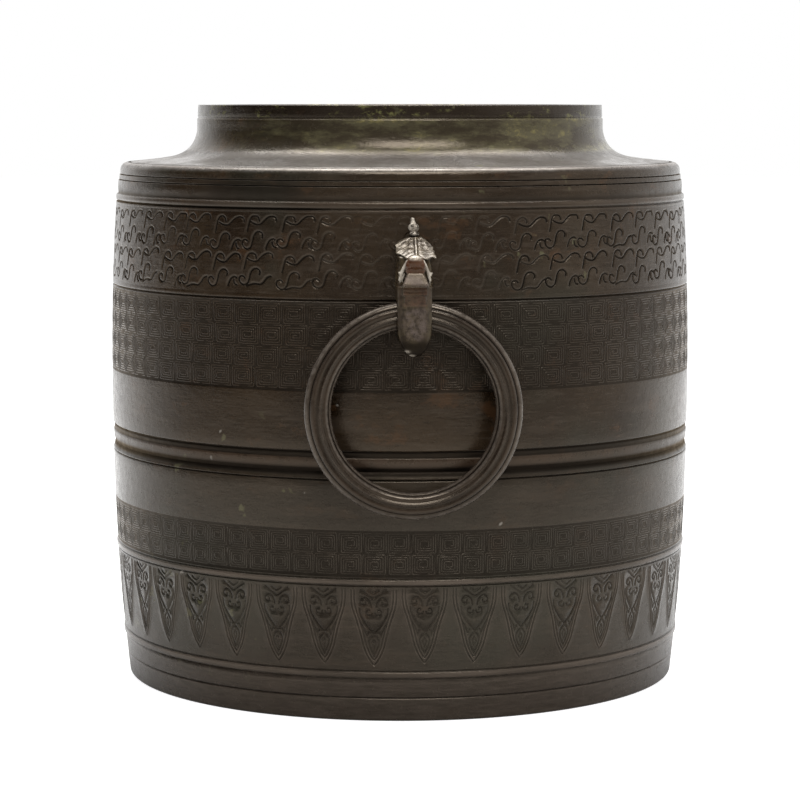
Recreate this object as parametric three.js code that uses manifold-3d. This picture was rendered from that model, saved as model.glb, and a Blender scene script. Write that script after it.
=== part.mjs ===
// Twin-handled bronze pot with two swinging ring handles.
// Millimetres, +Z up, origin at the centre of the foot, handles on -Y (front) and +Y (back).
import * as THREE from 'three';
import { mergeVertices } from 'three/addons/utils/BufferGeometryUtils.js';
import Module from 'manifold-3d';

const wasm = await Module();
wasm.setup();

// Heights of the zones of the wall, from the foot up
const FOOT_HEIGHT = 11.5;
const PLINTH_HEIGHT = 9.9;
const FOOT_BEAD_HEIGHT = 3.1;
const BLADE_BAND_HEIGHT = 42.5;
const BLADE_BEAD_HEIGHT = 2.8;
const LOWER_FRET_HEIGHT = 24.0;
const LOWER_PLAIN_HEIGHT = 23.8;
const RIB_ZONE_HEIGHT = 13.6;
const UPPER_PLAIN_HEIGHT = 28.4;
const UPPER_FRET_HEIGHT = 43.3;
const SCROLL_BEAD_HEIGHT = 1.2;
const SCROLL_BAND_HEIGHT = 41.0;
const MOULDING_HEIGHT = 15.1;
const SHOULDER_CORNER_HEIGHT = 5.1;
const SHOULDER_RISE = 2.5;
const NECK_COVE_HEIGHT = 14.4;
const NECK_HEIGHT = 12.4;

// Radii of the outside
const FOOT_RADIUS = 142.2;
const BELLY_RADIUS = 150.1;
const SHOULDER_RADIUS = 145.7;
const SHOULDER_INNER_RADIUS = 120.0;
const NECK_RADIUS = 105.2;
const LIP_RADIUS = 104.6;
const FOOT_CURVE = 2.4;

// Thicknesses of the casting
const WALL = 4.0;
const LIP_WALL = 4.5;
const FOOT_FLOOR_FILLET = 11.0;

// Small mouldings of the wall
const GROOVE_HALF_WIDTH = 0.5;
const GROOVE_DEPTH = 0.6;
const BEAD_PROUD = 0.7;
const BEAD_SLOPE = 0.6;
const FOOT_ROUNDING = 1.4;
const SHOULDER_EDGE_RECESS = 1.1;
const SHOULDER_LINE_INSET = 5.4;
const LIP_ROUNDING = 0.5;
const LIP_GROOVE_DROP = 6.4;
const RIB_SHELF_HEIGHT = 2.9;
const RIB_HEIGHT = 6.9;
const RIB_SHELF_RECESS = 0.6;
const RIB_CREST_RECESS = 0.3;
const RIB_FOOT_RECESS = 1.3;
// Upward-facing ledges above the scroll band: height above it, recess over and under the ledge
const LEDGES = [
  { rise: 3.3, over: 0.65, under: -0.35 },
  { rise: 9.8, over: 0.75, under: 0.3 },
  { rise: 13.8, over: 1.15, under: 0.55 },
];
const LEDGE_DROP = 0.5;

// Base plate, let into the foot from below against a ledge
const PLATE_THICKNESS = 3.5;
const PLATE_RECESS = 5.0;
const PLATE_SEAT_WIDTH = 5.3;
const PLATE_LEDGE_HEIGHT = 3.7;
const PLATE_CHAMFER = 0.8;
const FOOT_RIM_WIDTH = 6.6;

// Ring handles
const RING_INNER_RADIUS = 38.85;
const RING_TUBE_RADIUS = 5.9;
const RING_PIVOT_BELOW_BEAD = 6.4;
const RING_VALLEY = 1.2;
const RING_STEPS = 48;

// Lugs: a beast head over a C-shaped strap that holds the ring
const STRAP_HALF_WIDTH = 8.3;
const STRAP_THICKNESS = 8.0;
const STRAP_BEVEL = 3.1;
const STRAP_PLAY = 1.7;
const EYE_CLEARANCE = 0.33;
const EYE_CORNER = 2.0;
const BAR_THICKNESS = 11.2;
const BAR_CURL = 13.0;
const TONGUE_TIP_RISE = 1.5;
const STRAP_SWELL = 1.5;
const HEAD_HEIGHT = 31.0;
const HEAD_HALF_WIDTH = 9.7;
const SKULL_REACH = 13.0;
const SNOUT_REACH = 22.2;
const SNOUT_HEIGHT = 14.6;
const SNOUT_TOP_HALF_WIDTH = 4.2;
const SNOUT_FOOT_HALF_WIDTH = 6.3;
const NOSE_ROUNDING = 4.2;
const MOUTH_SHARE = 0.25;
const SKULL_TAPER = 1.0;
const CHEEK_SHARE = 0.35;
const CROWN_STEP = 1.0;
const FINIAL_HEIGHT = 9.2;
const FINIAL_RADIUS = 2.6;

// Outlines of the head. The skull's are shares of its width or reach and of the head's height over the
// mouth end of the strap, from the bottom up; the muzzle's are shares of its reach and height.
const SKULL_FRONT = [[0.93, 0.3], [0.9, 0.42], [1, 0.52], [0.77, 0.64], [0.88, 0.74]];
const SKULL_SIDE = [[1, 0.03], [1.12, 0.3], [1, 0.68], [0.55, 0.87], [0, 1]];
const MUZZLE_SIDE = [[0.89, 0], [0.955, 0.06], [0.96, 0.14], [0.93, 0.34], [0.96, 0.54], [1, 0.7]];
const MUZZLE_FRONT = [[1, 0.6], [1, 0.85], [0.6, 1.11]];
// Finial: half width of neck, bead, waist and tip, with their shares of its height
const FINIAL_FRONT = [[0.7, 0.2], [1, 0.4], [0.45, 0.65], [0.15, 1]];
const FINIAL_SIDE = [[-1.5, 0.25], [-0.6, 0.45], [-2.0, 0.65], [-3.2, 1]];

// Rivets
const RIVET_RADIUS = 2.4;
const RIVET_HEAD_RADIUS = 5.0;
const RIVET_HEAD_HEIGHT = 2.4;
const RIVET_BITE = 8.0;
const UPPER_RIVET_RISE = 21.0;

// Clearances
const SEAT_GAP = 0.3;
const RIVET_SEAT_GAP = 0.6;
const CUT_MARGIN = 6.0;
const OVERRUN = 0.1;

const LATHE_STEPS = 60;
const RIVET_STEPS = 12;

// Heights of the zone edges
const PLINTH_Z = FOOT_HEIGHT;
const FOOT_BEAD_Z = PLINTH_Z + PLINTH_HEIGHT;
const BLADE_BAND_Z = FOOT_BEAD_Z + FOOT_BEAD_HEIGHT;
const BLADE_BEAD_Z = BLADE_BAND_Z + BLADE_BAND_HEIGHT;
const LOWER_FRET_Z = BLADE_BEAD_Z + BLADE_BEAD_HEIGHT;
const LOWER_PLAIN_Z = LOWER_FRET_Z + LOWER_FRET_HEIGHT;
const RIB_ZONE_Z = LOWER_PLAIN_Z + LOWER_PLAIN_HEIGHT;
const UPPER_PLAIN_Z = RIB_ZONE_Z + RIB_ZONE_HEIGHT;
const UPPER_FRET_Z = UPPER_PLAIN_Z + UPPER_PLAIN_HEIGHT;
const SCROLL_BEAD_Z = UPPER_FRET_Z + UPPER_FRET_HEIGHT;
const SCROLL_BAND_Z = SCROLL_BEAD_Z + SCROLL_BEAD_HEIGHT;
const MOULDING_Z = SCROLL_BAND_Z + SCROLL_BAND_HEIGHT;
const SHOULDER_CORNER_Z = MOULDING_Z + MOULDING_HEIGHT;
const SHOULDER_Z = SHOULDER_CORNER_Z + SHOULDER_CORNER_HEIGHT;
const NECK_COVE_Z = SHOULDER_Z + SHOULDER_RISE;
const NECK_Z = NECK_COVE_Z + NECK_COVE_HEIGHT;
const TOP_Z = NECK_Z + NECK_HEIGHT;
const BELLY_Z = UPPER_FRET_Z;

// Places that the handles share
const RING_MID_RADIUS = RING_INNER_RADIUS + RING_TUBE_RADIUS;
const PIVOT_Z = SCROLL_BEAD_Z - RING_PIVOT_BELOW_BEAD;
const PIVOT_REACH = wallRadius(PIVOT_Z) + SEAT_GAP + RING_TUBE_RADIUS;
const RING_BOW = RING_MID_RADIUS - Math.sqrt(RING_MID_RADIUS ** 2 - STRAP_HALF_WIDTH ** 2);
const EYE_HALF_HEIGHT = RING_TUBE_RADIUS + RING_BOW + EYE_CLEARANCE;
const EYE_REACH = RING_TUBE_RADIUS + STRAP_PLAY;
const STRAP_REACH = EYE_REACH + STRAP_THICKNESS;
const BAR_FOOT = EYE_HALF_HEIGHT + BAR_THICKNESS;
const LOWER_RIVET_DROP = EYE_HALF_HEIGHT + BAR_THICKNESS / 2;
const HEAD_TOP = EYE_HALF_HEIGHT + HEAD_HEIGHT;
const MOUTH_TOP = EYE_HALF_HEIGHT + HEAD_HEIGHT * MOUTH_SHARE;
const LUG_ROOT = -RING_TUBE_RADIUS - CUT_MARGIN;

function wallRadius(z) {
  if (z < BELLY_Z) {
    const drop = (BELLY_Z - z) / BELLY_Z;
    return BELLY_RADIUS - (BELLY_RADIUS - FOOT_RADIUS) * drop ** FOOT_CURVE;
  }
  const rise = (z - BELLY_Z) / (SHOULDER_Z - BELLY_Z);
  return BELLY_RADIUS - (BELLY_RADIUS - SHOULDER_RADIUS) * rise ** 2;
}

function point(radius, z) {
  return new THREE.Vector2(radius, z);
}

function wallPoint(z, proud = 0) {
  return point(wallRadius(z) + proud, z);
}

function groove(z) {
  return [
    wallPoint(z - GROOVE_HALF_WIDTH),
    wallPoint(z, -GROOVE_DEPTH),
    wallPoint(z + GROOVE_HALF_WIDTH),
  ];
}

function bead(z, height, proud) {
  const slope = Math.min(BEAD_SLOPE, height / 3);
  return [
    wallPoint(z),
    wallPoint(z + slope, proud),
    wallPoint(z + height - slope, proud),
    wallPoint(z + height),
  ];
}

// A small ledge that faces up: the wall under it stands further out than the wall over it
function ledge({ rise, over, under }) {
  const z = MOULDING_Z + rise;
  return [wallPoint(z - LEDGE_DROP, -under), wallPoint(z, -over)];
}

// The rib zone is sunk between two grooves: a slanting foot, a rounded rib and a shelf over it
function ribZone() {
  const shelfZ = UPPER_PLAIN_Z - RIB_SHELF_HEIGHT;
  const ribFootZ = shelfZ - RIB_HEIGHT;
  return [
    ...groove(RIB_ZONE_Z),
    wallPoint(ribFootZ, -RIB_SHELF_RECESS),
    wallPoint(ribFootZ + LEDGE_DROP, -RIB_FOOT_RECESS),
    wallPoint(ribFootZ + RIB_HEIGHT * 0.4, -RIB_CREST_RECESS - 0.2),
    wallPoint(shelfZ - LEDGE_DROP, -RIB_CREST_RECESS),
    wallPoint(shelfZ, -RIB_SHELF_RECESS),
    ...groove(UPPER_PLAIN_Z),
  ];
}

function shoulderCorner() {
  const edgeRadius = wallRadius(SHOULDER_CORNER_Z) - SHOULDER_EDGE_RECESS;
  const corner = SHOULDER_CORNER_HEIGHT * 0.8;
  const arc = new THREE.EllipseCurve(
    edgeRadius - corner, SHOULDER_Z - corner, corner, corner, 0, Math.PI / 2,
  );
  return arc.getPoints(4);
}

function neckCurve() {
  const cove = new THREE.QuadraticBezierCurve(
    point(SHOULDER_INNER_RADIUS, NECK_COVE_Z),
    point(NECK_RADIUS + 1.4, NECK_COVE_Z + NECK_COVE_HEIGHT * 0.15),
    point(NECK_RADIUS, NECK_Z),
  );
  return cove.getPoints(5);
}

function shoulderLine() {
  const radius = SHOULDER_RADIUS - SHOULDER_LINE_INSET;
  return [
    point(radius, SHOULDER_Z - GROOVE_DEPTH / 2),
    point(radius - GROOVE_HALF_WIDTH, SHOULDER_Z + 0.1),
  ];
}

function lip() {
  const grooveZ = TOP_Z - LIP_GROOVE_DROP;
  return [
    point(NECK_RADIUS, grooveZ - GROOVE_HALF_WIDTH),
    point(NECK_RADIUS - GROOVE_DEPTH, grooveZ),
    point(LIP_RADIUS + 0.2, grooveZ + GROOVE_HALF_WIDTH),
    point(LIP_RADIUS, TOP_Z - LIP_ROUNDING),
    point(LIP_RADIUS - LIP_ROUNDING, TOP_Z),
  ];
}

// Outside of the pot from the foot to the lip
function outerProfile() {
  return [
    wallPoint(0, -FOOT_ROUNDING),
    wallPoint(FOOT_ROUNDING),
    ...groove(PLINTH_Z),
    ...bead(FOOT_BEAD_Z, FOOT_BEAD_HEIGHT, BEAD_PROUD),
    wallPoint((BLADE_BAND_Z + BLADE_BEAD_Z) / 2),
    ...bead(BLADE_BEAD_Z, BLADE_BEAD_HEIGHT, BEAD_PROUD),
    wallPoint(LOWER_PLAIN_Z),
    ...ribZone(),
    wallPoint(UPPER_FRET_Z),
    wallPoint((UPPER_FRET_Z + SCROLL_BEAD_Z) / 2),
    ...bead(SCROLL_BEAD_Z, SCROLL_BEAD_HEIGHT, BEAD_PROUD / 2),
    wallPoint((SCROLL_BAND_Z + MOULDING_Z) / 2),
    ...groove(MOULDING_Z),
    ...LEDGES.flatMap(ledge),
    ...shoulderCorner(),
    ...shoulderLine(),
    ...neckCurve(),
    ...lip(),
  ];
}

function footRimRadius() {
  return wallRadius(0) - FOOT_ROUNDING - FOOT_RIM_WIDTH;
}

// Inside of the casting from the lip down to the rebate of the base plate
function innerProfile() {
  const boreRadius = LIP_RADIUS - LIP_WALL;
  const cove = new THREE.QuadraticBezierCurve(
    point(boreRadius, NECK_Z - WALL / 2),
    point(boreRadius + 1.0, NECK_COVE_Z - WALL + 1.0),
    point(SHOULDER_INNER_RADIUS - WALL / 2, NECK_COVE_Z - WALL),
  );
  const cornerRadius = wallRadius(SHOULDER_CORNER_Z) - SHOULDER_EDGE_RECESS - WALL;
  const floorZ = PLATE_RECESS + PLATE_THICKNESS + SEAT_GAP + PLATE_LEDGE_HEIGHT;
  const seatRadius = footRimRadius() - PLATE_SEAT_WIDTH;
  return [
    point(boreRadius, TOP_Z),
    ...cove.getPoints(4),
    point(cornerRadius - WALL, SHOULDER_Z - WALL),
    point(cornerRadius, SHOULDER_CORNER_Z - WALL),
    wallPoint(MOULDING_Z, -WALL),
    wallPoint((SCROLL_BAND_Z + MOULDING_Z) / 2, -WALL),
    wallPoint(SCROLL_BAND_Z, -WALL),
    wallPoint(BELLY_Z, -WALL),
    wallPoint(RIB_ZONE_Z, -WALL),
    wallPoint(LOWER_FRET_Z, -WALL),
    wallPoint(floorZ + FOOT_FLOOR_FILLET, -WALL),
    point(seatRadius + WALL, floorZ + 1),
    point(seatRadius, floorZ),
    point(seatRadius, floorZ - PLATE_LEDGE_HEIGHT),
    point(footRimRadius(), floorZ - PLATE_LEDGE_HEIGHT),
    point(footRimRadius(), 0),
  ];
}

// Closed geometry to solid and back
function toSolid(geometry) {
  const bare = geometry.clone();
  bare.deleteAttribute('normal');
  bare.deleteAttribute('uv');
  const merged = mergeVertices(bare, 1e-4);
  return new wasm.Manifold(new wasm.Mesh({
    numProp: 3,
    vertProperties: new Float32Array(merged.attributes.position.array),
    triVerts: new Uint32Array(merged.index.array),
  }));
}

function toGeometry(solid) {
  const { vertProperties, triVerts } = solid.getMesh();
  const geometry = new THREE.BufferGeometry();
  geometry.setAttribute('position', new THREE.BufferAttribute(vertProperties, 3));
  geometry.setIndex(new THREE.BufferAttribute(triVerts, 1));
  return geometry;
}

// A turned solid about Z from a closed outline of radius and height
function turned(outline, steps) {
  const geometry = new THREE.LatheGeometry([...outline, outline[0].clone()], steps);
  return toSolid(geometry.rotateX(Math.PI / 2));
}

function shapeOf(points) {
  return new THREE.Shape(points.map(([x, y]) => new THREE.Vector2(x, y)));
}

// An extruded solid; the axes say where the outline's x and y point in the part
function extruded(shape, depth, xAxis, yAxis, start) {
  const geometry = new THREE.ExtrudeGeometry(shape, { depth, bevelEnabled: false, curveSegments: 5 });
  const zAxis = xAxis.clone().cross(yAxis);
  geometry.applyMatrix4(new THREE.Matrix4().makeBasis(xAxis, yAxis, zAxis).setPosition(start));
  return toSolid(geometry);
}

const ACROSS = new THREE.Vector3(1, 0, 0);
const OUTWARD = new THREE.Vector3(0, -1, 0);
const UP = new THREE.Vector3(0, 0, 1);

// Outline of reach from the pot's axis and height over the pivot, extruded across the lug
function sideExtrusion(shape, halfWidth) {
  return extruded(shape, 2 * halfWidth, OUTWARD, UP, new THREE.Vector3(halfWidth, -PIVOT_REACH, PIVOT_Z));
}

// Outline of width and height over the pivot, extruded outwards
function frontExtrusion(shape) {
  const depth = SNOUT_REACH + 4 * CUT_MARGIN;
  return extruded(shape, depth, ACROSS, UP, new THREE.Vector3(0, -PIVOT_REACH + 3 * CUT_MARGIN, PIVOT_Z));
}

// Outline of width and reach, extruded over the whole height of the lug
function planExtrusion(shape) {
  const height = HEAD_TOP + FINIAL_HEIGHT + BAR_FOOT + 2 * CUT_MARGIN;
  const top = PIVOT_Z + HEAD_TOP + FINIAL_HEIGHT + CUT_MARGIN;
  return extruded(shape, height, ACROSS, OUTWARD, new THREE.Vector3(0, -PIVOT_REACH, top));
}

function mirrored(halfOutline) {
  const other = halfOutline.map(([x, y]) => [-x, y]).reverse();
  return shapeOf([...halfOutline, ...other]);
}

// A pin-shaped solid along -Y at a height, from one reach to another
function radialCylinder(radius, fromReach, toReach, z) {
  const cylinder = new THREE.CylinderGeometry(radius, radius, toReach - fromReach, RIVET_STEPS);
  cylinder.translate(0, -(fromReach + toReach) / 2, z);
  return toSolid(cylinder);
}

function halfTurn(solid) {
  return solid.rotate([0, 0, 180]);
}

const RIVET_HEIGHTS = { upper: PIVOT_Z + UPPER_RIVET_RISE, lower: PIVOT_Z - LOWER_RIVET_DROP };

// Hole through the wall for a rivet's shank, with a flat seat for its head on the inside
function rivetHole(z) {
  const wall = wallRadius(z);
  const seat = wall - WALL - RIVET_SEAT_GAP + SEAT_GAP;
  const shank = radialCylinder(RIVET_RADIUS + SEAT_GAP, wall - 3 * WALL, wall + WALL, z);
  return shank.add(radialCylinder(RIVET_HEAD_RADIUS + SEAT_GAP, wall - 3 * WALL, seat, z));
}

// Pot: one casting from foot to lip, with holes for the rivets of both lugs
function vesselBody() {
  let body = turned([...outerProfile(), ...innerProfile()], LATHE_STEPS);
  for (const z of Object.values(RIVET_HEIGHTS)) {
    const hole = rivetHole(z);
    body = body.subtract(hole).subtract(halfTurn(hole));
  }
  return toGeometry(body);
}

function basePlate() {
  const radius = footRimRadius() - SEAT_GAP;
  const top = PLATE_RECESS + PLATE_THICKNESS;
  const outline = [
    point(0, PLATE_RECESS),
    point(radius - PLATE_CHAMFER, PLATE_RECESS),
    point(radius, PLATE_RECESS + PLATE_CHAMFER),
    point(radius, top),
    point(0, top),
  ];
  return new THREE.LatheGeometry(outline, LATHE_STEPS).rotateX(Math.PI / 2);
}

// Ring section: plain round back, and a front with two rounded bands beside a shallow valley
function ringSection() {
  const section = [];
  const turns = 16;
  for (let i = 0; i < turns; i += 1) {
    const angle = (2 * Math.PI * i) / turns;
    const front = Math.max(0, Math.sin(angle));
    const valley = RING_VALLEY * front ** 4 * Math.cos(2.2 * (angle - Math.PI / 2)) ** 2;
    const radius = RING_TUBE_RADIUS - valley;
    section.push(point(RING_MID_RADIUS + radius * Math.cos(angle), radius * Math.sin(angle)));
  }
  return section;
}

function ring() {
  const section = ringSection();
  const geometry = new THREE.LatheGeometry([...section, section[0].clone()], RING_STEPS);
  geometry.rotateX(Math.PI);
  return geometry.translate(0, -PIVOT_REACH, PIVOT_Z - RING_MID_RADIUS);
}

// Side view of the C: head root, strap in front of the ring and the bar that curls back under it
function strapSide() {
  const top = EYE_HALF_HEIGHT + SNOUT_HEIGHT / 2;
  const shape = new THREE.Shape();
  shape.moveTo(LUG_ROOT, -BAR_FOOT);
  shape.lineTo(STRAP_REACH - BAR_CURL, -BAR_FOOT);
  shape.quadraticCurveTo(STRAP_REACH, -BAR_FOOT, STRAP_REACH, -BAR_FOOT + BAR_CURL);
  shape.lineTo(STRAP_REACH, EYE_HALF_HEIGHT);
  shape.lineTo(STRAP_REACH + STRAP_SWELL, top);
  shape.lineTo(LUG_ROOT, top);
  shape.lineTo(LUG_ROOT, EYE_HALF_HEIGHT);
  shape.lineTo(EYE_REACH - EYE_CORNER, EYE_HALF_HEIGHT);
  shape.quadraticCurveTo(EYE_REACH, EYE_HALF_HEIGHT, EYE_REACH, EYE_HALF_HEIGHT - EYE_CORNER);
  shape.lineTo(EYE_REACH, -EYE_HALF_HEIGHT + EYE_CORNER * 2);
  shape.quadraticCurveTo(EYE_REACH, -EYE_HALF_HEIGHT, EYE_REACH - EYE_CORNER * 2, -EYE_HALF_HEIGHT);
  shape.lineTo(LUG_ROOT, -EYE_HALF_HEIGHT);
  return shape;
}

// Front view of the strap: straight sides that round in to a blunt tongue
function strapFront() {
  const half = STRAP_HALF_WIDTH;
  const shape = new THREE.Shape();
  shape.moveTo(half, EYE_HALF_HEIGHT + SNOUT_HEIGHT);
  shape.lineTo(half, -BAR_FOOT + BAR_THICKNESS);
  shape.quadraticCurveTo(half, -BAR_FOOT + TONGUE_TIP_RISE, 0, -BAR_FOOT - OVERRUN);
  shape.quadraticCurveTo(-half, -BAR_FOOT + TONGUE_TIP_RISE, -half, -BAR_FOOT + BAR_THICKNESS);
  shape.lineTo(-half, EYE_HALF_HEIGHT + SNOUT_HEIGHT);
  return shape;
}

// Plan of the strap: a flat front between two bevels
function strapPlan() {
  return mirrored([
    [STRAP_HALF_WIDTH, LUG_ROOT - CUT_MARGIN],
    [STRAP_HALF_WIDTH, STRAP_REACH - STRAP_BEVEL],
    [STRAP_HALF_WIDTH - STRAP_BEVEL, STRAP_REACH],
    [STRAP_HALF_WIDTH - STRAP_BEVEL, STRAP_REACH + STRAP_BEVEL],
  ]);
}

// Height over the pivot of a share of the head
function headHeight(share) {
  return EYE_HALF_HEIGHT + HEAD_HEIGHT * share;
}

// Side view of the skull: brow, crown and the finial that leans on the wall
function skullSide() {
  return shapeOf([
    [LUG_ROOT, EYE_HALF_HEIGHT],
    ...SKULL_SIDE.map(([reach, height]) => [SKULL_REACH * reach, headHeight(height)]),
    ...FINIAL_SIDE.map(([reach, height]) => [reach, HEAD_TOP + FINIAL_HEIGHT * height]),
    [LUG_ROOT, HEAD_TOP + FINIAL_HEIGHT],
  ]);
}

// Front view of the skull: cheeks, two pairs of pointed ear flaps, sloping crown, beaded finial
function skullFront() {
  return mirrored([
    [STRAP_HALF_WIDTH, EYE_HALF_HEIGHT - OVERRUN],
    ...SKULL_FRONT.map(([half, height]) => [HEAD_HALF_WIDTH * half, headHeight(height)]),
    [FINIAL_RADIUS, HEAD_TOP - CROWN_STEP],
    ...FINIAL_FRONT.map(([half, height]) => [FINIAL_RADIUS * half, HEAD_TOP + FINIAL_HEIGHT * height]),
  ]);
}

// Plan of the skull: it narrows from the ears to the root of the snout
function skullPlan() {
  return mirrored([
    [HEAD_HALF_WIDTH, LUG_ROOT - CUT_MARGIN],
    [HEAD_HALF_WIDTH, SKULL_REACH * CHEEK_SHARE],
    [STRAP_HALF_WIDTH - SKULL_TAPER, SKULL_REACH],
    [STRAP_HALF_WIDTH - 2 * SKULL_TAPER, SKULL_REACH + 2 * SKULL_TAPER],
  ]);
}

// Side view of the muzzle: a lip that runs back to the strap under a rounded nose
function snoutSide() {
  const noseTop = MOUTH_TOP + SNOUT_HEIGHT;
  const shape = new THREE.Shape();
  shape.moveTo(0, MOUTH_TOP);
  for (const [reach, height] of MUZZLE_SIDE) {
    shape.lineTo(SNOUT_REACH * reach, MOUTH_TOP + SNOUT_HEIGHT * height);
  }
  shape.quadraticCurveTo(SNOUT_REACH, noseTop, SNOUT_REACH - NOSE_ROUNDING, noseTop);
  shape.lineTo(SKULL_REACH, noseTop);
  shape.lineTo(0, noseTop + CROWN_STEP);
  return shape;
}

function snoutFront() {
  return mirrored([
    [SNOUT_FOOT_HALF_WIDTH, MOUTH_TOP - OVERRUN],
    ...MUZZLE_FRONT.map(([half, height]) => [SNOUT_TOP_HALF_WIDTH * half, MOUTH_TOP + SNOUT_HEIGHT * height]),
  ]);
}

// The pot's outside grown by the seat gap, which shapes the back of a lug
function wallSeat() {
  const grown = outerProfile().map(({ x, y }) => point(x + SEAT_GAP, y));
  return turned([point(0, 0), ...grown, point(0, TOP_Z)], LATHE_STEPS);
}

function lug() {
  const strap = sideExtrusion(strapSide(), STRAP_HALF_WIDTH + CUT_MARGIN)
    .intersect(frontExtrusion(strapFront()))
    .intersect(planExtrusion(strapPlan()));
  const skull = sideExtrusion(skullSide(), HEAD_HALF_WIDTH + CUT_MARGIN)
    .intersect(frontExtrusion(skullFront()))
    .intersect(planExtrusion(skullPlan()));
  const snout = sideExtrusion(snoutSide(), SNOUT_FOOT_HALF_WIDTH + CUT_MARGIN)
    .intersect(frontExtrusion(snoutFront()));
  let solid = strap.add(skull).add(snout).subtract(wallSeat());
  for (const z of Object.values(RIVET_HEIGHTS)) {
    const wall = wallRadius(z);
    solid = solid.subtract(radialCylinder(RIVET_RADIUS + SEAT_GAP, wall - WALL, wall + RIVET_BITE, z));
  }
  return toGeometry(solid);
}

// Rivet: shank let into the back of the lug, hammered head against the inside of the wall
function rivet(z) {
  const seat = wallRadius(z) - WALL - RIVET_SEAT_GAP;
  const tip = wallRadius(z) + RIVET_BITE - SEAT_GAP;
  const outline = [
    point(0, seat - RIVET_HEAD_HEIGHT),
    point(RIVET_HEAD_RADIUS * 0.6, seat - RIVET_HEAD_HEIGHT * 0.85),
    point(RIVET_HEAD_RADIUS, seat - RIVET_HEAD_HEIGHT * 0.3),
    point(RIVET_HEAD_RADIUS, seat),
    point(RIVET_RADIUS, seat),
    point(RIVET_RADIUS, tip),
    point(0, tip),
  ];
  const geometry = new THREE.LatheGeometry(outline, RIVET_STEPS);
  return geometry.rotateX(Math.PI).translate(0, 0, z);
}

function bronze(name, color, roughness, metalness) {
  return new THREE.MeshStandardMaterial({ name, color, roughness, metalness });
}

const MATERIALS = {
  body: bronze('body_bronze', 0x3e3632, 0.42, 0.85),
  plate: bronze('plate_bronze', 0x393230, 0.6, 0.8),
  lug: bronze('lug_bronze', 0x4a4038, 0.4, 0.85),
  ring: bronze('ring_bronze', 0x473d38, 0.36, 0.9),
  rivet: bronze('rivet_bronze', 0x4b4037, 0.5, 0.85),
};

function piece(name, geometry, material) {
  const mesh = new THREE.Mesh(geometry, material.clone());
  mesh.name = name;
  return mesh;
}

const pot = new THREE.Group();
pot.add(piece('vessel_body', vesselBody(), MATERIALS.body));
pot.add(piece('base_plate', basePlate(), MATERIALS.plate));

const lugGeometry = lug();
const ringGeometry = ring();
for (const [side, turn] of [['front', 0], ['back', Math.PI]]) {
  const handle = new THREE.Group();
  handle.rotation.z = turn;
  handle.add(piece(`${side}_lug`, lugGeometry, MATERIALS.lug));
  handle.add(piece(`${side}_ring`, ringGeometry, MATERIALS.ring));
  for (const [level, z] of Object.entries(RIVET_HEIGHTS)) {
    handle.add(piece(`${side}_${level}_rivet`, rivet(z), MATERIALS.rivet));
  }
  pot.add(handle);
}

export default pot;
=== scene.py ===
import math

import bpy
import numpy as np
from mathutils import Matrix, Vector
from mathutils.geometry import delaunay_2d_cdt
from mathutils.kdtree import KDTree


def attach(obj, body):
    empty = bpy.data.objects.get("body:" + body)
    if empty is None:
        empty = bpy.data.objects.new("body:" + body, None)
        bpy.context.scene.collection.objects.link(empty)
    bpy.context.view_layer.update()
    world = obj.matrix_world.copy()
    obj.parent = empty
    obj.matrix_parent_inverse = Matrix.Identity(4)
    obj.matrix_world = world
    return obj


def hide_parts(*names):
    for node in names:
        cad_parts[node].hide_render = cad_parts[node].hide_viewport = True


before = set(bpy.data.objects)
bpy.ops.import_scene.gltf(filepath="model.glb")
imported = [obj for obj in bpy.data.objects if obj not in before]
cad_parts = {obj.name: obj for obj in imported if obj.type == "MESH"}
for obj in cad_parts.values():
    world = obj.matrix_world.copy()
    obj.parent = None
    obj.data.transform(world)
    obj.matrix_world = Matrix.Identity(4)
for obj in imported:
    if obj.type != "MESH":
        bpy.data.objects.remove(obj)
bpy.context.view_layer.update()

MM = 0.001
TAU = 2.0 * math.pi
QUARTER = math.pi / 2

# ---- sizes, in millimetres
FOOT_R, BELLY_R, SHOULDER_R, NECK_R, BORE_R = 142.2, 150.1, 145.7, 105.2, 100.1
WALL = 4.0
PLINTH_Z, FOOT_BEAD_Z, BLADE_BEAD_Z, RIB_ZONE_Z = 11.5, 21.4, 67, 117.6
LOWER_FRET_Z, LOWER_PLAIN_Z, UPPER_FRET_Z, SCROLL_BEAD_Z = 69.8, 93.8, 159.6, 202.9
BELLY_Z = UPPER_FRET_Z
CORNER_Z, SHOULDER_Z, COVE_Z, NECK_Z = 260.2, 265.3, 267.8, 282.2
BLADE_Z0, BLADE_Z1 = 25.3, 66.2
SCROLL_Z0, SCROLL_Z1 = 205.5, 244.2
STRIP_GROOVE_Z, UPPER_LINES = 245.9, (256.6, 259.3)
FOOT_ROUND, CORNER_ROUND = 1.4, 4.08
# the two bands that carry frets are sunk a little; the engraved bands are sleeves on a deeper seat
FRET_BANDS = ((UPPER_FRET_Z, SCROLL_BEAD_Z - 0.9), (LOWER_FRET_Z + 1.2, LOWER_PLAIN_Z - 0.4))
BAND_SINK, FRET_GROUND = 0.085, 0.68
SLEEVE_SEAT, SLEEVE_FOOT = 1.2, 1.7

PIVOT_Z, PIVOT_REACH = 196.5, 155.764
RING_MID_R, RING_TUBE_R = 44.75, 5.9


def mirrored(points):
    return points + [(-x, y) for x, y in points[::-1]]


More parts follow.
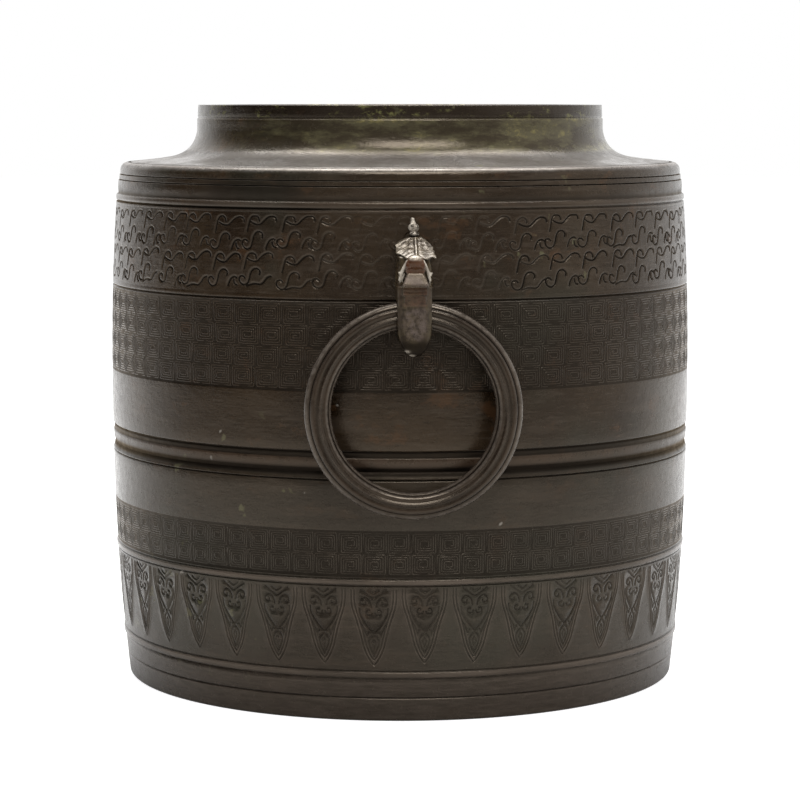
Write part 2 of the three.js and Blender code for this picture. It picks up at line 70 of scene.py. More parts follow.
# sections: across a groove (half widths, share of its depth), and mouldings (height, distance out of the wall)
GROOVE = mirrored([(-1.2, 0), (-0.85, 0.08), (-0.5, 0.6), (-0.2, 0.96)])
RIB = ((118.9, -0.35), (120, -0.62), (120.9, -0.75), (121.25, -1.05), (121.5, -1.3), (121.7, -1.32), (122.1, -1.15),
    (122.8, -0.85), (123.7, -0.58), (124.8, -0.4), (126, -0.28), (127, -0.26), (127.7, -0.32), (128, -0.45),
    (128.25, -0.62), (128.6, -0.66), (129.4, -0.62), (130.2, -0.6), (130.5, -0.72), (130.8, -0.85), (131.15, -0.85),
    (131.45, -0.5), (131.8, -0.08), (132.1, 0))
STRIP = ((246.8, 0.15), (247.6, 0.3), (248.6, 0.25), (249.1, 0.05), (249.3, -0.5), (249.55, -0.78), (250.2, -0.8),
    (251.2, -0.66), (252.6, -0.45), (254.2, -0.38), (255.6, -0.42))
# outlines as (radius, height)
SHOULDER = [(141, 265.3), (140.7, 265.1), (140.45, 264.75), (140.15, 264.75), (139.9, 265.15), (139.6, 265.43),
    (136, 265.75), (132, 266.2), (128, 266.65), (124, 267.15)]
LIP = [(105.2, 284.8), (105.2, 287.2), (105.15, 287.5), (104.8, 287.8), (104.55, 288.1), (104.55, 288.35),
    (104.75, 288.6), (104.85, 288.9), (104.75, 291), (104.65, 293.4)]
INNER_Z = (250, 245.1, 235, 224.6, 214, 204.1, 190, 175, 159.6, 145, 130, 117.6, 100, 85, 69.8, 55, 40, 30)


def wall_radius(z):
    """Outside of the smooth wall: widest at the belly, drawn in to the foot and the shoulder"""
    z = np.asarray(z, float)
    drop = np.clip((BELLY_Z - z) / BELLY_Z, 0, None)
    rise = np.clip((z - BELLY_Z) / (SHOULDER_Z - BELLY_Z), 0, None)
    return BELLY_R - (BELLY_R - FOOT_R) * drop ** 2.4 - (BELLY_R - SHOULDER_R) * rise ** 2


def on_wall(*points):
    """Profile points from (height, distance out of the wall)"""
    return [(wall_radius(z) + out, z) for z, out in points]


def plain(z0, z1, step, out=0, ends=False):
    count = max(1, math.ceil((z1 - z0) / step))
    inner = range(0, count + 1) if ends else range(1, count)
    return on_wall(*((z0 + (z1 - z0) * i / count, out) for i in inner))


def groove(z, half=0.6, depth=0.6):
    return on_wall(*((z + a * half, -depth * b) for a, b in GROOVE))


def bead(z0, height, proud=0.7, moat=0.4):
    """A half-round moulding with a fine moat on each side"""
    half = height / 2
    skirt = ((-0.7, 0), (-0.45, -moat * 0.7), (-0.1, -moat), (0.12, -moat * 0.5))
    top = [(z0 + half + half * t, proud * (1 - t ** 4) ** 0.6) for t in np.linspace(-0.9, 0.9, 9)]
    return on_wall(*((z0 + z, out) for z, out in skirt), *top, *((z0 + height - z, out) for z, out in skirt[::-1]))


def sunk_band(z0, z1):
    """A fret's ground lies a little under the wall, so the tops of its ridges are level with the wall"""
    lip = BAND_SINK * 0.25
    return on_wall((z0 - 0.35, 0), (z0 - 0.12, -lip)) + plain(z0, z1, 3, -BAND_SINK, True) + \
        on_wall((z1 + 0.12, -lip), (z1 + 0.35, 0))


def sleeve_seat(z0, z1):
    """The casting steps back under an engraved band, which is a sleeve of its own"""
    return on_wall((z0 - 0.1, 0), (z0 + 0.05, -0.1)) + \
        plain(z0 + 0.5, z1 - 0.5, 3.9, -SLEEVE_SEAT, True) + on_wall((z1 - 0.05, -0.1), (z1 + 0.1, 0))


def line_cut(z, under, over, depth=0.5):
    """A thin line where the wall steps from one offset to another"""
    floor = min(under, over) - depth
    return on_wall((z - 0.5, under), (z - 0.3, under), (z - 0.18, (under + floor) / 2), (z - 0.06, floor),
        (z + 0.1, floor), (z + 0.2, (over + floor) / 2), (z + 0.34, over), (z + 0.6, over))


def fillet(r, z, radius, start, end, count):
    return [(r + radius * math.cos(a), z + radius * math.sin(a)) for a in np.linspace(start, end, count)]


def quadratic(p0, p1, p2, count):
    t = np.linspace(0, 1, count + 1)[:, None]
    p0, p1, p2 = (np.array(p, float) for p in (p0, p1, p2))
    return [tuple(p) for p in (1 - t) ** 2 * p0 + 2 * t * (1 - t) * p1 + t ** 2 * p2]


def outer_profile():
    """From the foot's inner edge up the outside to the rim, as (radius, height)"""
    p = [(134.2, 0), (134.9, 0), (138.6, 0), (140.2, 0)]
    p += fillet(wall_radius(FOOT_ROUND) - FOOT_ROUND, FOOT_ROUND, FOOT_ROUND, 0.2 - QUARTER, 0, 6)
    p += plain(FOOT_ROUND, 10.7, 3) + groove(PLINTH_Z) + plain(12.4, 20.6, 3)
    p += bead(FOOT_BEAD_Z, 3.1) + sleeve_seat(BLADE_Z0, BLADE_Z1) + bead(BLADE_BEAD_Z, 2.8)
    p += sunk_band(*FRET_BANDS[1]) + plain(LOWER_PLAIN_Z, RIB_ZONE_Z - 1, 4)
    p += groove(RIB_ZONE_Z, 0.62, 0.75) + on_wall(*RIB) + plain(132.1, UPPER_FRET_Z - 1, 5)
    p += sunk_band(*FRET_BANDS[0]) + groove(SCROLL_BEAD_Z, 0.8, 0.75) + sleeve_seat(SCROLL_Z0, SCROLL_Z1)
    p += groove(STRIP_GROOVE_Z, 0.62, 0.7) + on_wall(*STRIP)
    p += line_cut(UPPER_LINES[0], -0.45, -0.75) + line_cut(UPPER_LINES[1], -0.78, -1.1)
    edge = wall_radius(CORNER_Z) - 1.1
    p += fillet(edge - CORNER_ROUND, SHOULDER_Z - CORNER_ROUND, CORNER_ROUND, 0, QUARTER, 10)
    p += SHOULDER + quadratic((120, COVE_Z), (106.6, 269.96), (NECK_R, NECK_Z), 18) + LIP
    return p + fillet(104.4, 294.4, 0.2, 0, QUARTER, 4)


def inner_profile():
    """From the rim down the inside to the seat of the base plate"""
    p = [(102, 294.6), (100.6, 294.55), (100.2, 294.3), (BORE_R, 293.9), (BORE_R, 287)]
    p += quadratic((BORE_R, 280.2), (101.1, 264.8), (118, 263.8), 12)
    p += [(130, 262.4), (138.2, 261.3), (140.4, 259.6), (140.9, 256.2)]
    p += on_wall(*((z, -WALL) for z in INNER_Z))
    p += quadratic(*on_wall((23.5, -WALL)), (138, 13.5), (130.5, 12.7), 6)
    return p + [(128.9, 12.5), (128.9, 8.8), (134.2, 8.8), (134.2, 0.4)]


# ---- helpers
def ease(low, high, value):
    """0 at low and 1 at high, with a smooth step between; low may be the larger"""
    t = np.clip((value - low) / (high - low), 0, 1)
    return t * t * (3 - 2 * t)


def bell(value, middle, half):
    return np.exp(-((value - middle) / half) ** 2)


def unit(rows):
    return rows / (np.linalg.norm(rows, axis=1)[:, None] + 1e-9)


def left_of(way):
    return np.stack([-way[:, 1], way[:, 0]], 1)


def new_object(name, verts, faces, smooth=True):
    """verts in millimetres"""
    mesh = bpy.data.meshes.new(name)
    mesh.from_pydata((np.asarray(verts, float) * MM).tolist(), [], faces)
    mesh.validate(clean_customdata=False)
    mesh.polygons.foreach_set("use_smooth", [smooth] * len(mesh.polygons))
    mesh.update()
    obj = bpy.data.objects.new(name, mesh)
    bpy.context.scene.collection.objects.link(obj)
    return obj


def dress(obj, body, slot, replaced=None, **masks):
    """Gives a piece its masks and the body it rides on, and hides the node that it stands for; slot is not used"""
    for name, values in masks.items():
        layer = obj.data.attributes.new(name, "FLOAT", "POINT")
        layer.data.foreach_set("value", np.asarray(values, np.float32))
    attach(obj, body)
    if replaced:
        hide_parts(replaced)
    return obj


def turned(profile, steps):
    """Closed turned surface from a closed outline of (radius, height)"""
    r, z = np.array(profile, float).T
    angle = TAU * np.arange(steps)[:, None] / steps
    verts = np.stack([r * np.cos(angle), r * np.sin(angle), z + 0 * angle], -1).reshape(-1, 3)
    i, j = np.meshgrid(np.arange(steps), np.arange(len(r)), indexing="ij")
    i, i2, j2 = i * len(r), (i + 1) % steps * len(r), (j + 1) % len(r)
    return verts, np.stack([i + j, i2 + j, i2 + j2, i + j2], -1).reshape(-1, 4)


def round_pot(turn, r, z):
    """Points a share of a turn round the pot from the middle of its front"""
    angle = TAU * turn - QUARTER
    return np.column_stack([r * np.cos(angle), r * np.sin(angle), z])


def smooth_path(points, step):
    """Catmull-Rom through the points, sampled about every step millimetres"""
    p = np.array(points, float)
    p = np.vstack([2 * p[0] - p[1], p, 2 * p[-1] - p[-2]])
    out = []
    for a, b, c, d in zip(p, p[1:], p[2:], p[3:]):
        count = max(2, int(round(np.linalg.norm(c - b) / step)))
        t = np.arange(count)[:, None] / count
        out.append(0.5 * (2 * b + (c - a) * t + (2 * a - 5 * b + 4 * c - d) * t ** 2 +
            (3 * b - a - 3 * c + d) * t ** 3))
    return np.vstack(out + [p[-2:-1]])


def hand(points, rng, amount):
    """Small shifts that keep neighbouring lines parallel enough, as in a hand-cut mould"""
    shift = rng.normal(0, amount, 2)
    skew = rng.normal(0, amount * 0.04, (2, 2))
    return points + shift + (points - points.mean(0)) @ skew


# ---- the pot's casting
def casting_masks(verts):
    """Grooves, coves and the frets' ground are painted dark, dirt and painted shade; bead tops and corners are rubbed
    bright
    """
    x, y, z = verts.T
    r = np.hypot(x, y)
    below = wall_radius(z) - r
    outside = (below < 2.4) & (z < CORNER_Z + 1.2)
    # dark in grooves, coves and lines: dirt and painted shade
    dirt_and_shade = [np.clip((below - 0.12) / 0.7, 0, 1) * (z < SCROLL_BEAD_Z + 1.2)]
    for line, half, strong in ((STRIP_GROOVE_Z, 0.75, 0.35 + 0.65 * ease(-25, -55, x)),
            (UPPER_LINES[0], 0.3, 1), (UPPER_LINES[1], 0.3, 1)):
        dirt_and_shade.append(strong * ease(half * 1.2, half * 0.6, np.abs(z - line)))
    dirt_and_shade.append(0.62 * ease(249.1, 249.5, z) * ease(253.4, 250.2, z))
    # the mouldings left of the front lug are painted darker
    dirt_and_shade.append(0.6 * (y < 0) * ease(248.6, 250, z) * ease(262.5, 257.5, z) * ease(-112, -92, x) * ease(-30, -62, x))
    recess = np.max(dirt_and_shade, axis=0) * outside
    recess[(np.abs(r - 140.3) < 0.5) & (z > 264.5)] = 1.0
    # the frets' ground is painted dark between the ridges, dirt and painted shade
    for z0, z1 in FRET_BANDS:
        recess[outside & (z > z0 - 0.05) & (z < z1 + 0.05)] = FRET_GROUND
    wear = np.max([np.clip(-below / 0.6, 0, 1) * outside, 0.6 * bell(z, 245, 0.35) * outside,
        0.8 * ease(263.6, 264.9, z) * ease(141.4, 142.2, r)], axis=0)
    return {"recess": recess, "wear": wear}


pot_verts, pot_faces = turned(outer_profile() + inner_profile(), 288)
pot = dress(new_object("pot_casting", pot_verts, pot_faces.tolist()), "vessel", "body_bronze", "vessel_body",
    **casting_masks(pot_verts))

# ---- frets: squared spirals as low ridges
RIDGE_SECTION = ((-0.5, 0), (-0.2, 1), (0.2, 1), (0.5, 0))
RIDGE_ROOT, RIDGE_HEIGHT, RIDGE_FULL = -0.35, 0.08, 0.1
END_WIDTH, END_HEIGHT = 0.4, 0.15


def rounded(points, radius):
    """A path with each corner rounded off"""
    out = [points[0]]
    for before, corner, after in zip(points, points[1:], points[2:]):
        before, after = before - corner, after - corner
        back, ahead = np.linalg.norm(before), np.linalg.norm(after)
        cut = min(radius, back * 0.42, ahead * 0.42)
        a, b = corner + before / back * cut, corner + after / ahead * cut
        out += [a, (a + b) * 0.25 + corner * 0.5, b]
    return np.array(out + [points[-1]])


def square_spiral(width, height, pitch, sides):
    """Corners of a squared spiral that winds inwards"""
    limit = [height / 2, width / 2, -height / 2, -width / 2]
    inwards = (-pitch, -pitch, pitch, pitch)
    points = [(-width / 2, -height / 2)]
    for side in range(sides):
        x, z = points[-1]
        k = side % 4
        points.append((limit[k], z) if k % 2 else (x, limit[k]))
        limit[k - 1] += inwards[k - 1]
    return np.array(points)


def ridge(path, width, height):
    """One closed ridge along a path in the plane of the band: columns x, z, height over the ground"""
    n, size = len(path), len(RIDGE_SECTION)
    seg = unit(np.diff(path, axis=0))
    way = np.zeros_like(path)
    way[:-1] += seg
    way[1:] += seg
    way = unit(way)
    bend = np.abs(np.sum(np.vstack([seg[:1], seg]) * way, 1)).clip(0.5, 1)
    w, h = width / bend, np.full(n, height)
    w[[0, -1]] *= END_WIDTH
    h[[0, -1]] *= END_HEIGHT
    verts = np.stack([np.column_stack([path + left_of(way) * (w * a)[:, None], h * up if up else h * 0 + RIDGE_ROOT])
        for a, up in RIDGE_SECTION], 1).reshape(-1, 3)
    row = size * np.arange(n - 1)
    quads = [np.stack([row + k, row + (k + 1) % size, row + (k + 1) % size + size, row + k + size], 1)
        for k in range(size)]
    return verts, np.vstack(quads), np.array([range(size - 1, -1, -1), range(size * (n - 1), size * n)])


def fret(name, seed, z0, z1, columns, around, pitch, width, sides, corner):
    """Two rows of squared spirals round the pot"""
    rng = np.random.default_rng(seed)
    cell_w, cell_h = around / columns, (z1 - z0) / 2
    ridges = []
    for row in range(2):
        offset = rng.uniform(-0.12, 0.12) * cell_w
        for column in range(columns):
            path = square_spiral(cell_w - pitch * 0.92, cell_h - pitch * 0.92, pitch * rng.uniform(0.97, 1.02),
                sides - (rng.random() < 0.3))
            if rng.random() < 0.25:
                path = -path
            path = hand(rounded(path, corner * rng.uniform(0.75, 1.2)), rng, 0.07)
            path = path + ((column + 0.5) * cell_w + offset, z0 + (row + 0.5) * cell_h)
            ridges.append(ridge(path, width * rng.uniform(0.92, 1.08), RIDGE_HEIGHT * rng.uniform(0.84, 1)))
    starts = np.cumsum([0] + [len(verts) for verts, _, _ in ridges])
    faces = np.vstack([made[k] + start for k in (1, 2) for made, start in zip(ridges, starts)])
    x, z, up = np.vstack([verts for verts, _, _ in ridges]).T
    obj = new_object(name, round_pot(x / around, wall_radius(z) - BAND_SINK + up, z), faces.tolist())
    # the ground at the ridges' feet is painted dark, dirt and painted shade; the ridge tops are rubbed
    return dress(obj, "vessel", "body_bronze", recess=FRET_GROUND * (1 - ease(0, 0.7, up / RIDGE_FULL)),
        wear=ease(0.7, 1, up / RIDGE_FULL) * 0.7)


FRET_LOW, FRET_TOP = UPPER_FRET_Z + 0.9, SCROLL_BEAD_Z - 1.4
FRET_PAIR = (FRET_TOP - FRET_LOW) / 2
UPPER_FRET = (73, TAU * 149.6, 1.14, 0.8, 18, 0.5)
LOWER_FRET = (79, TAU * 147, 1.12, 0.78, 17, 0.45)
frets = [fret("upper_fret_low_rows", 11, FRET_LOW, FRET_LOW + FRET_PAIR, *UPPER_FRET),
    fret("upper_fret_high_rows", 13, FRET_TOP - FRET_PAIR, FRET_TOP, *UPPER_FRET),
    fret("lower_fret", 12, LOWER_FRET_Z + 2.2, LOWER_PLAIN_Z - 1.2, *LOWER_FRET)]

# ---- engraved bands
RIM_STEP, GROUND_STEP, EDGE_STEP = 1.7, 3.3, 2.0
FLOOR_HALF, GROOVE_EDGE = 0.42, 1.05
# lines of points along a groove, in half widths from its middle
STROKE_TRACKS = (-1, -0.42, 0.42, 1)
LINE_TRACKS = (-2.3, -1.6, *STROKE_TRACKS, 1.6, 2.3)
SCROLL_TRACKS = (-1.35, *STROKE_TRACKS, 1.65, 2.4)


class Engraving:
    """A closed sleeve round the pot with grooves cut into it: x runs once round, z is the height"""

    def __init__(self, name, seed, z0, z1, around, shift=0):
        self.name, self.z0, self.z1, self.around, self.shift = name, z0, z1, around, shift
        self.random = np.random.default_rng(seed)
        self.points, self.edges, self.samples, self.data = [], [], [], []

    def cut(self, path, width, depth, tracks, lip=0, fade=np.ones_like, both=False):
        """One groove along a path; a raised lip may follow its left side, or both"""
        half = width / 2
        reach = half * (2.6 if lip else 1.4)
        path[:, 1] = np.clip(path[:, 1], self.z0 + reach, self.z1 - reach)
        if np.abs(path[:, 0]).max() > self.around / 2 - reach - 0.5:
            return
        path = path[np.append(True, np.linalg.norm(np.diff(path, axis=0), axis=1) > 0.12)]
        way = unit(np.gradient(path, axis=0))
        side = left_of(way)
        for track in tracks:
            first = len(self.points)
            self.points.extend((path + side * half * track).tolist())
            self.edges.extend((first + i, first + i + 1) for i in range(len(path) - 1))
        for end, sign in ((0, -1), (-1, 1)):
            for track in (FLOOR_HALF, 1, 1.35):
                for lean in (-0.7, 0, 0.7):
                    turn = way[end] * sign * math.cos(lean) + side[end] * math.sin(lean)
                    self.points.append(tuple(path[end] + turn * half * track))
        strength = fade(path[:, 0])

        def note(spot, i):
            self.samples.append(spot)
            self.data.append((*way[i], half, depth * strength[i], lip * strength[i], both))

        for i in range(len(path) - 1):
            for t in (0, 0.34, 0.67):
                note(path[i] * (1 - t) + path[i + 1] * t, i)
        note(path[-1], -1)

    def build(self):
        z0, z1, around = self.z0, self.z1, self.around
        far, tall = around / 2, z1 - z0
        columns, rows = int(around / RIM_STEP), int(tall / GROUND_STEP)
        levels = [z0 + tall * i / rows for i in range(rows)]
        tree = KDTree(len(self.samples))
        for i, (x, z) in enumerate(self.samples):
            tree.insert((x, z, 0), i)
        tree.balance()
        points = self.points + [(-far + around * i / columns, z) for z in (z0, z1) for i in range(columns + 1)]
        points += [(x, level) for x in (-far, far) for level in levels[1:]]
        # loose points where the ground is plain, and a row of them along each rim
        loose = [(-far + (i + 0.5 + 0.5 * (j % 2)) * GROUND_STEP, levels[j], GROUND_STEP * 0.45)
            for i in range(int(around / GROUND_STEP)) for j in range(1, rows)]
        loose += [(-far + (i + 0.5) * EDGE_STEP, z, 0.9) for i in range(int(around / EDGE_STEP))
            for z in (z0 + 1, z1 - 1)]
        points += [(x, z) for x, z, clear in loose if x < far - 0.5 and tree.find((x, z, 0))[2] > clear]
        flat, _, faces, *_ = delaunay_2d_cdt([Vector(p) for p in points], self.edges, [], 0, 1e-4, False)
        flat = np.array([tuple(v) for v in flat])
        count = len(flat)
        # depth of each point, from the nearest spot on a groove's middle line
        found = [tree.find((x, z, 0)) for x, z in flat]
        away = flat - np.array([f[0][:2] for f in found])
        way_x, way_z, half, depth, lip_height, both = np.array(self.data, float)[[f[1] for f in found]].T
        a = np.linalg.norm(away, axis=1) / half
        left = way_x * away[:, 1] - way_z * away[:, 0] > 0
        cut = 1 - ease(FLOOR_HALF, GROOVE_EDGE, a)
        edge = np.minimum(flat[:, 1] - z0, z1 - flat[:, 1])
        lip = np.sin(np.clip((a - 0.95) / 1.5, 0, 1) * math.pi) * (left | (both > 0.5)) * ease(0.5, 1.9, edge)
        height = (lip_height * lip - depth * cut) * ease(0, 0.4, edge)
        # the two ends of the sheet meet at the back of the pot
        start, end = (np.flatnonzero(np.abs(flat[:, 0] - x) < 1e-3) for x in (-far, far))
        weld = np.arange(count)
        weld[end[np.argsort(flat[end, 1])]] = start[np.argsort(flat[start, 1])]
        turn = (flat[:, 0] + self.shift) / around
        outer = round_pot(turn, wall_radius(flat[:, 1]) + height, flat[:, 1])
        rings = []
        for z in (z0, z1):
            ring = np.flatnonzero((np.abs(flat[:, 1] - z) < 1e-3) & (weld == np.arange(count)))
            rings.append(ring[np.argsort(flat[ring, 0])])
        assert len(rings[0]) == len(rings[1]) == columns
        inner = [round_pot(turn[ring], wall_radius(flat[ring, 1]) - SLEEVE_FOOT, flat[ring, 1]) for ring in rings]
        # rims and back; the rims have their own corners, so the shading of the front stays level
        low, high, rim_low, rim_high = (count + columns * k + np.arange(columns) for k in range(4))
        ahead = np.roll(np.arange(columns), -1)
        quads = [np.column_stack([rim_low, low, low[ahead], rim_low[ahead]]),
            np.column_stack([rim_high[ahead], high[ahead], high, rim_high]),
            np.column_stack([low, high, high[ahead], low[ahead]])]
        triangles = weld[np.array(faces)]
        verts = np.vstack([outer, *inner, outer[rings[0]], outer[rings[1]]])
        used = np.unique(np.concatenate([triangles.ravel(), low, high, rim_low, rim_high]))
        faces = [row for part in (triangles, *quads) for row in np.searchsorted(used, part).tolist()]
        obj = new_object(self.name, verts[used], faces)
        for polygon in obj.data.polygons:
            polygon.use_smooth = len(polygon.vertices) == 3
        pad = np.zeros(4 * columns)
        # the grooves are painted dark, dirt and painted shade; the lips are painted pale
        return dress(obj, "vessel", "body_bronze", recess=np.append(cut * np.clip(depth / 0.6, 0, 0.85), pad)[used],
            wear=np.append(np.clip(lip * lip_height / 0.14, 0, 0.8), pad)[used])


# scroll band: strokes that repeat round the pot in two staggered pairs of rows
SCROLL_UNITS, SCROLL_UNIT, SCROLL_START = 49, 19.08, 12.0
SCROLL_AROUND = SCROLL_UNITS * SCROLL_UNIT
SCROLL_BASES = (234.4, 216.3)
SCROLL_WIDTH, SCROLL_DEPTH, SCROLL_LIP = 1.35, 0.58, 0.045
HOOK = [(0, 0), (0.7, 2.8), (1.4, 5.6), (2.6, 7.4), (4.8, 7.9), (6.4, 6.8), (6.6, 5.4)]
WAVE = [(2.2, 5.2), (4.7, 4.1), (7.7, 4), (10.1, 6), (12.2, 7.6), (14.6, 8.2), (16.6, 7.3), (16.8, 5.8)]
TALL = [(0.4, -4.5), (-0.8, -3.5), (-2.5, -4), (-2.8, -5.7), (-1.8, -7.2), (0, -8), (2.1, -7.1), (3.1, -4.8),
    (3.8, -2.1), (5.2, -0.2), (7.2, 0.2), (9, -1.1), (8.7, -2.7)]
COMMA = [(10.4, -7.8), (11.2, -5.6), (12.5, -3.7), (14.4, -3), (15.6, -3.6)]
COMMA_EYE = [(13.5, -4.6), (13.7, -5.9), (14.4, -7), (15.4, -7.2)]
SWEEP = [(1.6, -8.6), (5.6, -7.4), (9.6, -7.6), (11.6, -6), (13.4, -4), (15.4, -3.4)]


def handled(x):
    """Hands have worn the pattern down near the lugs"""
    away = np.minimum(np.abs(x), SCROLL_AROUND / 2 - np.abs(x))
    return 0.3 + 0.7 * ease(12, 75, away)


scrolls = Engraving("scroll_relief", 21, SCROLL_Z0, SCROLL_Z1, SCROLL_AROUND)
rng = scrolls.random
for number in range(SCROLL_UNITS):
    for base in SCROLL_BASES:
        drift = rng.normal(0, (0.5, 0.45), 2)
        x = number * SCROLL_UNIT + SCROLL_START
        if x > SCROLL_AROUND / 2 - 8:
            x -= SCROLL_AROUND
        tail = (SWEEP,) if rng.random() < 0.25 else (COMMA, COMMA_EYE)
        for stroke in (HOOK, WAVE, TALL, *tail):
            stretch = (rng.uniform(0.94, 1.04), rng.uniform(0.94, 1.03))
            path = hand(smooth_path(stroke, 0.85) * stretch + (x, base) + drift, rng, 0.16)
            scrolls.cut(path, SCROLL_WIDTH * rng.uniform(0.85, 1.15), SCROLL_DEPTH * rng.uniform(0.8, 1.15),
                SCROLL_TRACKS, SCROLL_LIP, handled)
scroll_relief = scrolls.build()

# blade band: shapes are from a blade's middle line and hang down from the bead
BLADES, BLADE_UNIT = 38, 24.5
BLADE_AROUND = BLADES * BLADE_UNIT
BLADE_OUTLINE = [(-10.6, -1.4), (-10.6, -6), (-9.9, -10.5), (-8.6, -14.5), (-6.7, -21), (-4.8, -29), (-2.4, -34.5),
    (0, -38)]
BLADE_TIP = math.sin(math.atan2(2.4, 3.5))
# left halves, with the width and depth of the stroke
BLADE_STROKES = [
    ([(-6, -1.2), (-3.6, -3), (-1.6, -4.4), (0, -5.4)], 1.15, 0.42),
    ([(-2.6, -1.2), (-1.2, -2.2), (0, -2.9)], 0.8, 0.34),
    ([(-1.1, -9.3), (-1.6, -7.2), (-2.8, -5.6), (-4.4, -5), (-5.9, -5.9), (-6.3, -7.4), (-5.3, -8.6), (-4, -8.2),
    (-3.9, -7.2)], 1.2, 0.48),
    ([(-0.6, -12.4), (-1.2, -13.6), (-2.6, -13.7), (-3.6, -12.6), (-3.2, -11.2), (-2, -11.2)], 1.15, 0.46),
    ([(-6.7, -10.2), (-6.4, -13), (-4.9, -16), (-2.6, -19.4), (0, -22.4)], 1.05, 0.44),
    ([(-5.6, -18.4), (-4.4, -20.6), (-3.3, -23.6), (-2.9, -22.2), (-2.2, -21.4)], 0.8, 0.34),
    ([(0, -22.9), (-1.6, -24.6), (-2.4, -27), (-1.5, -30.2), (0, -33.2)], 0.9, 0.38),
    ([(0, -25.2), (-0.8, -27.4), (0, -30)], 0.7, 0.3),
]


def blade_outline(inset):
    """Left half of the outline, moved inwards by a distance"""
    p = smooth_path(BLADE_OUTLINE, 2.6)
    moved = p + left_of(unit(np.gradient(p, axis=0))) * inset
    tip = p[-1, 1] + inset / BLADE_TIP
    return np.vstack([moved[(moved[:, 0] < -0.12) & (moved[:, 1] > tip)], [(0, tip)]])


def mirrored_line(half):
    return np.vstack([half, (half[:-1] * (-1, 1))[::-1]])


blades = Engraving("blade_relief", 31, BLADE_Z0, BLADE_Z1, BLADE_AROUND, shift=-0.26 * BLADE_UNIT)
rng = blades.random
for blade in range(BLADES):
    drift = np.array([rng.normal(0, 0.25), rng.normal(0, 0.3)])
    stretch = np.array([rng.uniform(0.97, 1.03), rng.uniform(0.97, 1.02)])
    x = (blade + 0.5) * BLADE_UNIT
    origin = np.array([x - BLADE_AROUND if x > BLADE_AROUND / 2 else x, BLADE_BEAD_Z - 0.4])
    for inset in (0, 1.45):
        line = mirrored_line(blade_outline(inset))
        blades.cut(line * stretch + origin + drift, 0.72, 0.26, LINE_TRACKS, 0.12, both=True)
    for shape, width, depth in BLADE_STROKES:
        width, depth = width * rng.uniform(0.78, 0.98), depth * rng.uniform(0.66, 0.88)
        half = smooth_path(shape, 0.9)
        if half[0, 0] == 0:
            half = half[::-1]
        for line in [mirrored_line(half)] if half[-1, 0] == 0 else [half * (-1, 1), half]:
            blades.cut(line * stretch + origin + drift, width, depth, STROKE_TRACKS)
blade_relief = blades.build()

# ---- rings
# by angle round the tube, 0 outwards, 90 to the front, 180 inwards: how far the section lies under a round tube
# (less than nothing on the outer fillet), where dirt and painted shade darken it, and where the metal is rubbed, with
# a painted highlight on the fillets
RING_CUT = ((0, -1.1), (9, -1.02), (18, -0.76), (27, -0.32), (32, 0), (36, 0.45), (38, 0.62), (40, 0.62), (42, 0.4),
    (46, 0.12), (54, 0.06), (62, 0.2), (68, 0.5), (74, 0.9), (80, 1.02), (86, 0.84), (90, 0.5), (94, 0.32),
    (99, 0.34), (104, 0.6), (109, 0.78), (114, 0.7), (119, 0.36), (125, 0.12), (133, 0.08), (140, 0.2), (144, 0.5),
    (147, 0.62), (149, 0.55), (152, 0.12), (158, 0), (300, 0), (325, -0.35), (345, -0.9), (360, -1.1))
RING_DIRT_AND_SHADE = ((32, 0), (37, 1), (41, 1), (45, 0), (66, 0), (74, 0.55), (82, 0.55), (90, 0.3), (103, 0.3), (109, 0.45),
    (114, 0.3), (119, 0), (141, 0), (145, 1), (149, 1), (152, 0))
RING_WEAR_AND_HIGHLIGHT = ((0, 0.2), (8, 0.4), (16, 1), (26, 1), (33, 0.2), (36, 0), (46, 0), (54, 0.35), (62, 0), (90, 0),
    (96, 0.5), (101, 0), (120, 0), (126, 0.8), (136, 0.8), (142, 0), (151, 0), (154, 0.9), (166, 0.6), (180, 0.2))
RING_STEPS = 144


def ring_object(name, body, sign):
    """sign is 1 for the front, -1 for the back"""
    degrees = np.concatenate([np.arange(0, 180, 2), np.arange(180, 360, 10)])
    cut, dirt_and_shade, wear = (np.interp(degrees, *zip(*keys)) for keys in (RING_CUT, RING_DIRT_AND_SHADE, RING_WEAR_AND_HIGHLIGHT))
    tube, angle = RING_TUBE_R - cut, np.radians(degrees)
    verts, faces = turned(np.column_stack([RING_MID_R + tube * np.cos(angle), tube * np.sin(angle)]), RING_STEPS)
    up, side, out = verts.T
    verts = np.column_stack([side * sign, -(PIVOT_REACH + out) * sign, PIVOT_Z - RING_MID_R + up])
    return dress(new_object(name, verts, faces[:, ::-1].tolist()), body, "ring_bronze", body,
        recess=np.tile(dirt_and_shade, RING_STEPS), wear=np.tile(wear, RING_STEPS))


rings = [ring_object("front_handle_ring", "front_ring", 1), ring_object("back_handle_ring", "back_ring", -1)]

# ---- lugs, sculpted as a distance field
# u is sideways, r outwards from the ring's pivot, h height over the pivot; SIDE outlines are (r, h),
# FRONT outlines (u, h) and PLAN outlines (u, r)
EYE_HALF, EYE_REACH, STRAP_REACH, TONGUE_FOOT = 7.3, 7.6, 15.6, -18.8
STRAP_HALF, STRAP_BEVEL, TONGUE_CURL, MOUTH_H, ROOT = 8.3, 3.1, 7, 14.757, -12.0
SEAT_GAP, CROWN_SHIFT, LUG_STEP = 0.05, 0.7, 0.42
LUG_SPAN = ((-10.9, 11), (-9.6, 23.4), (-19.6, 48.9))


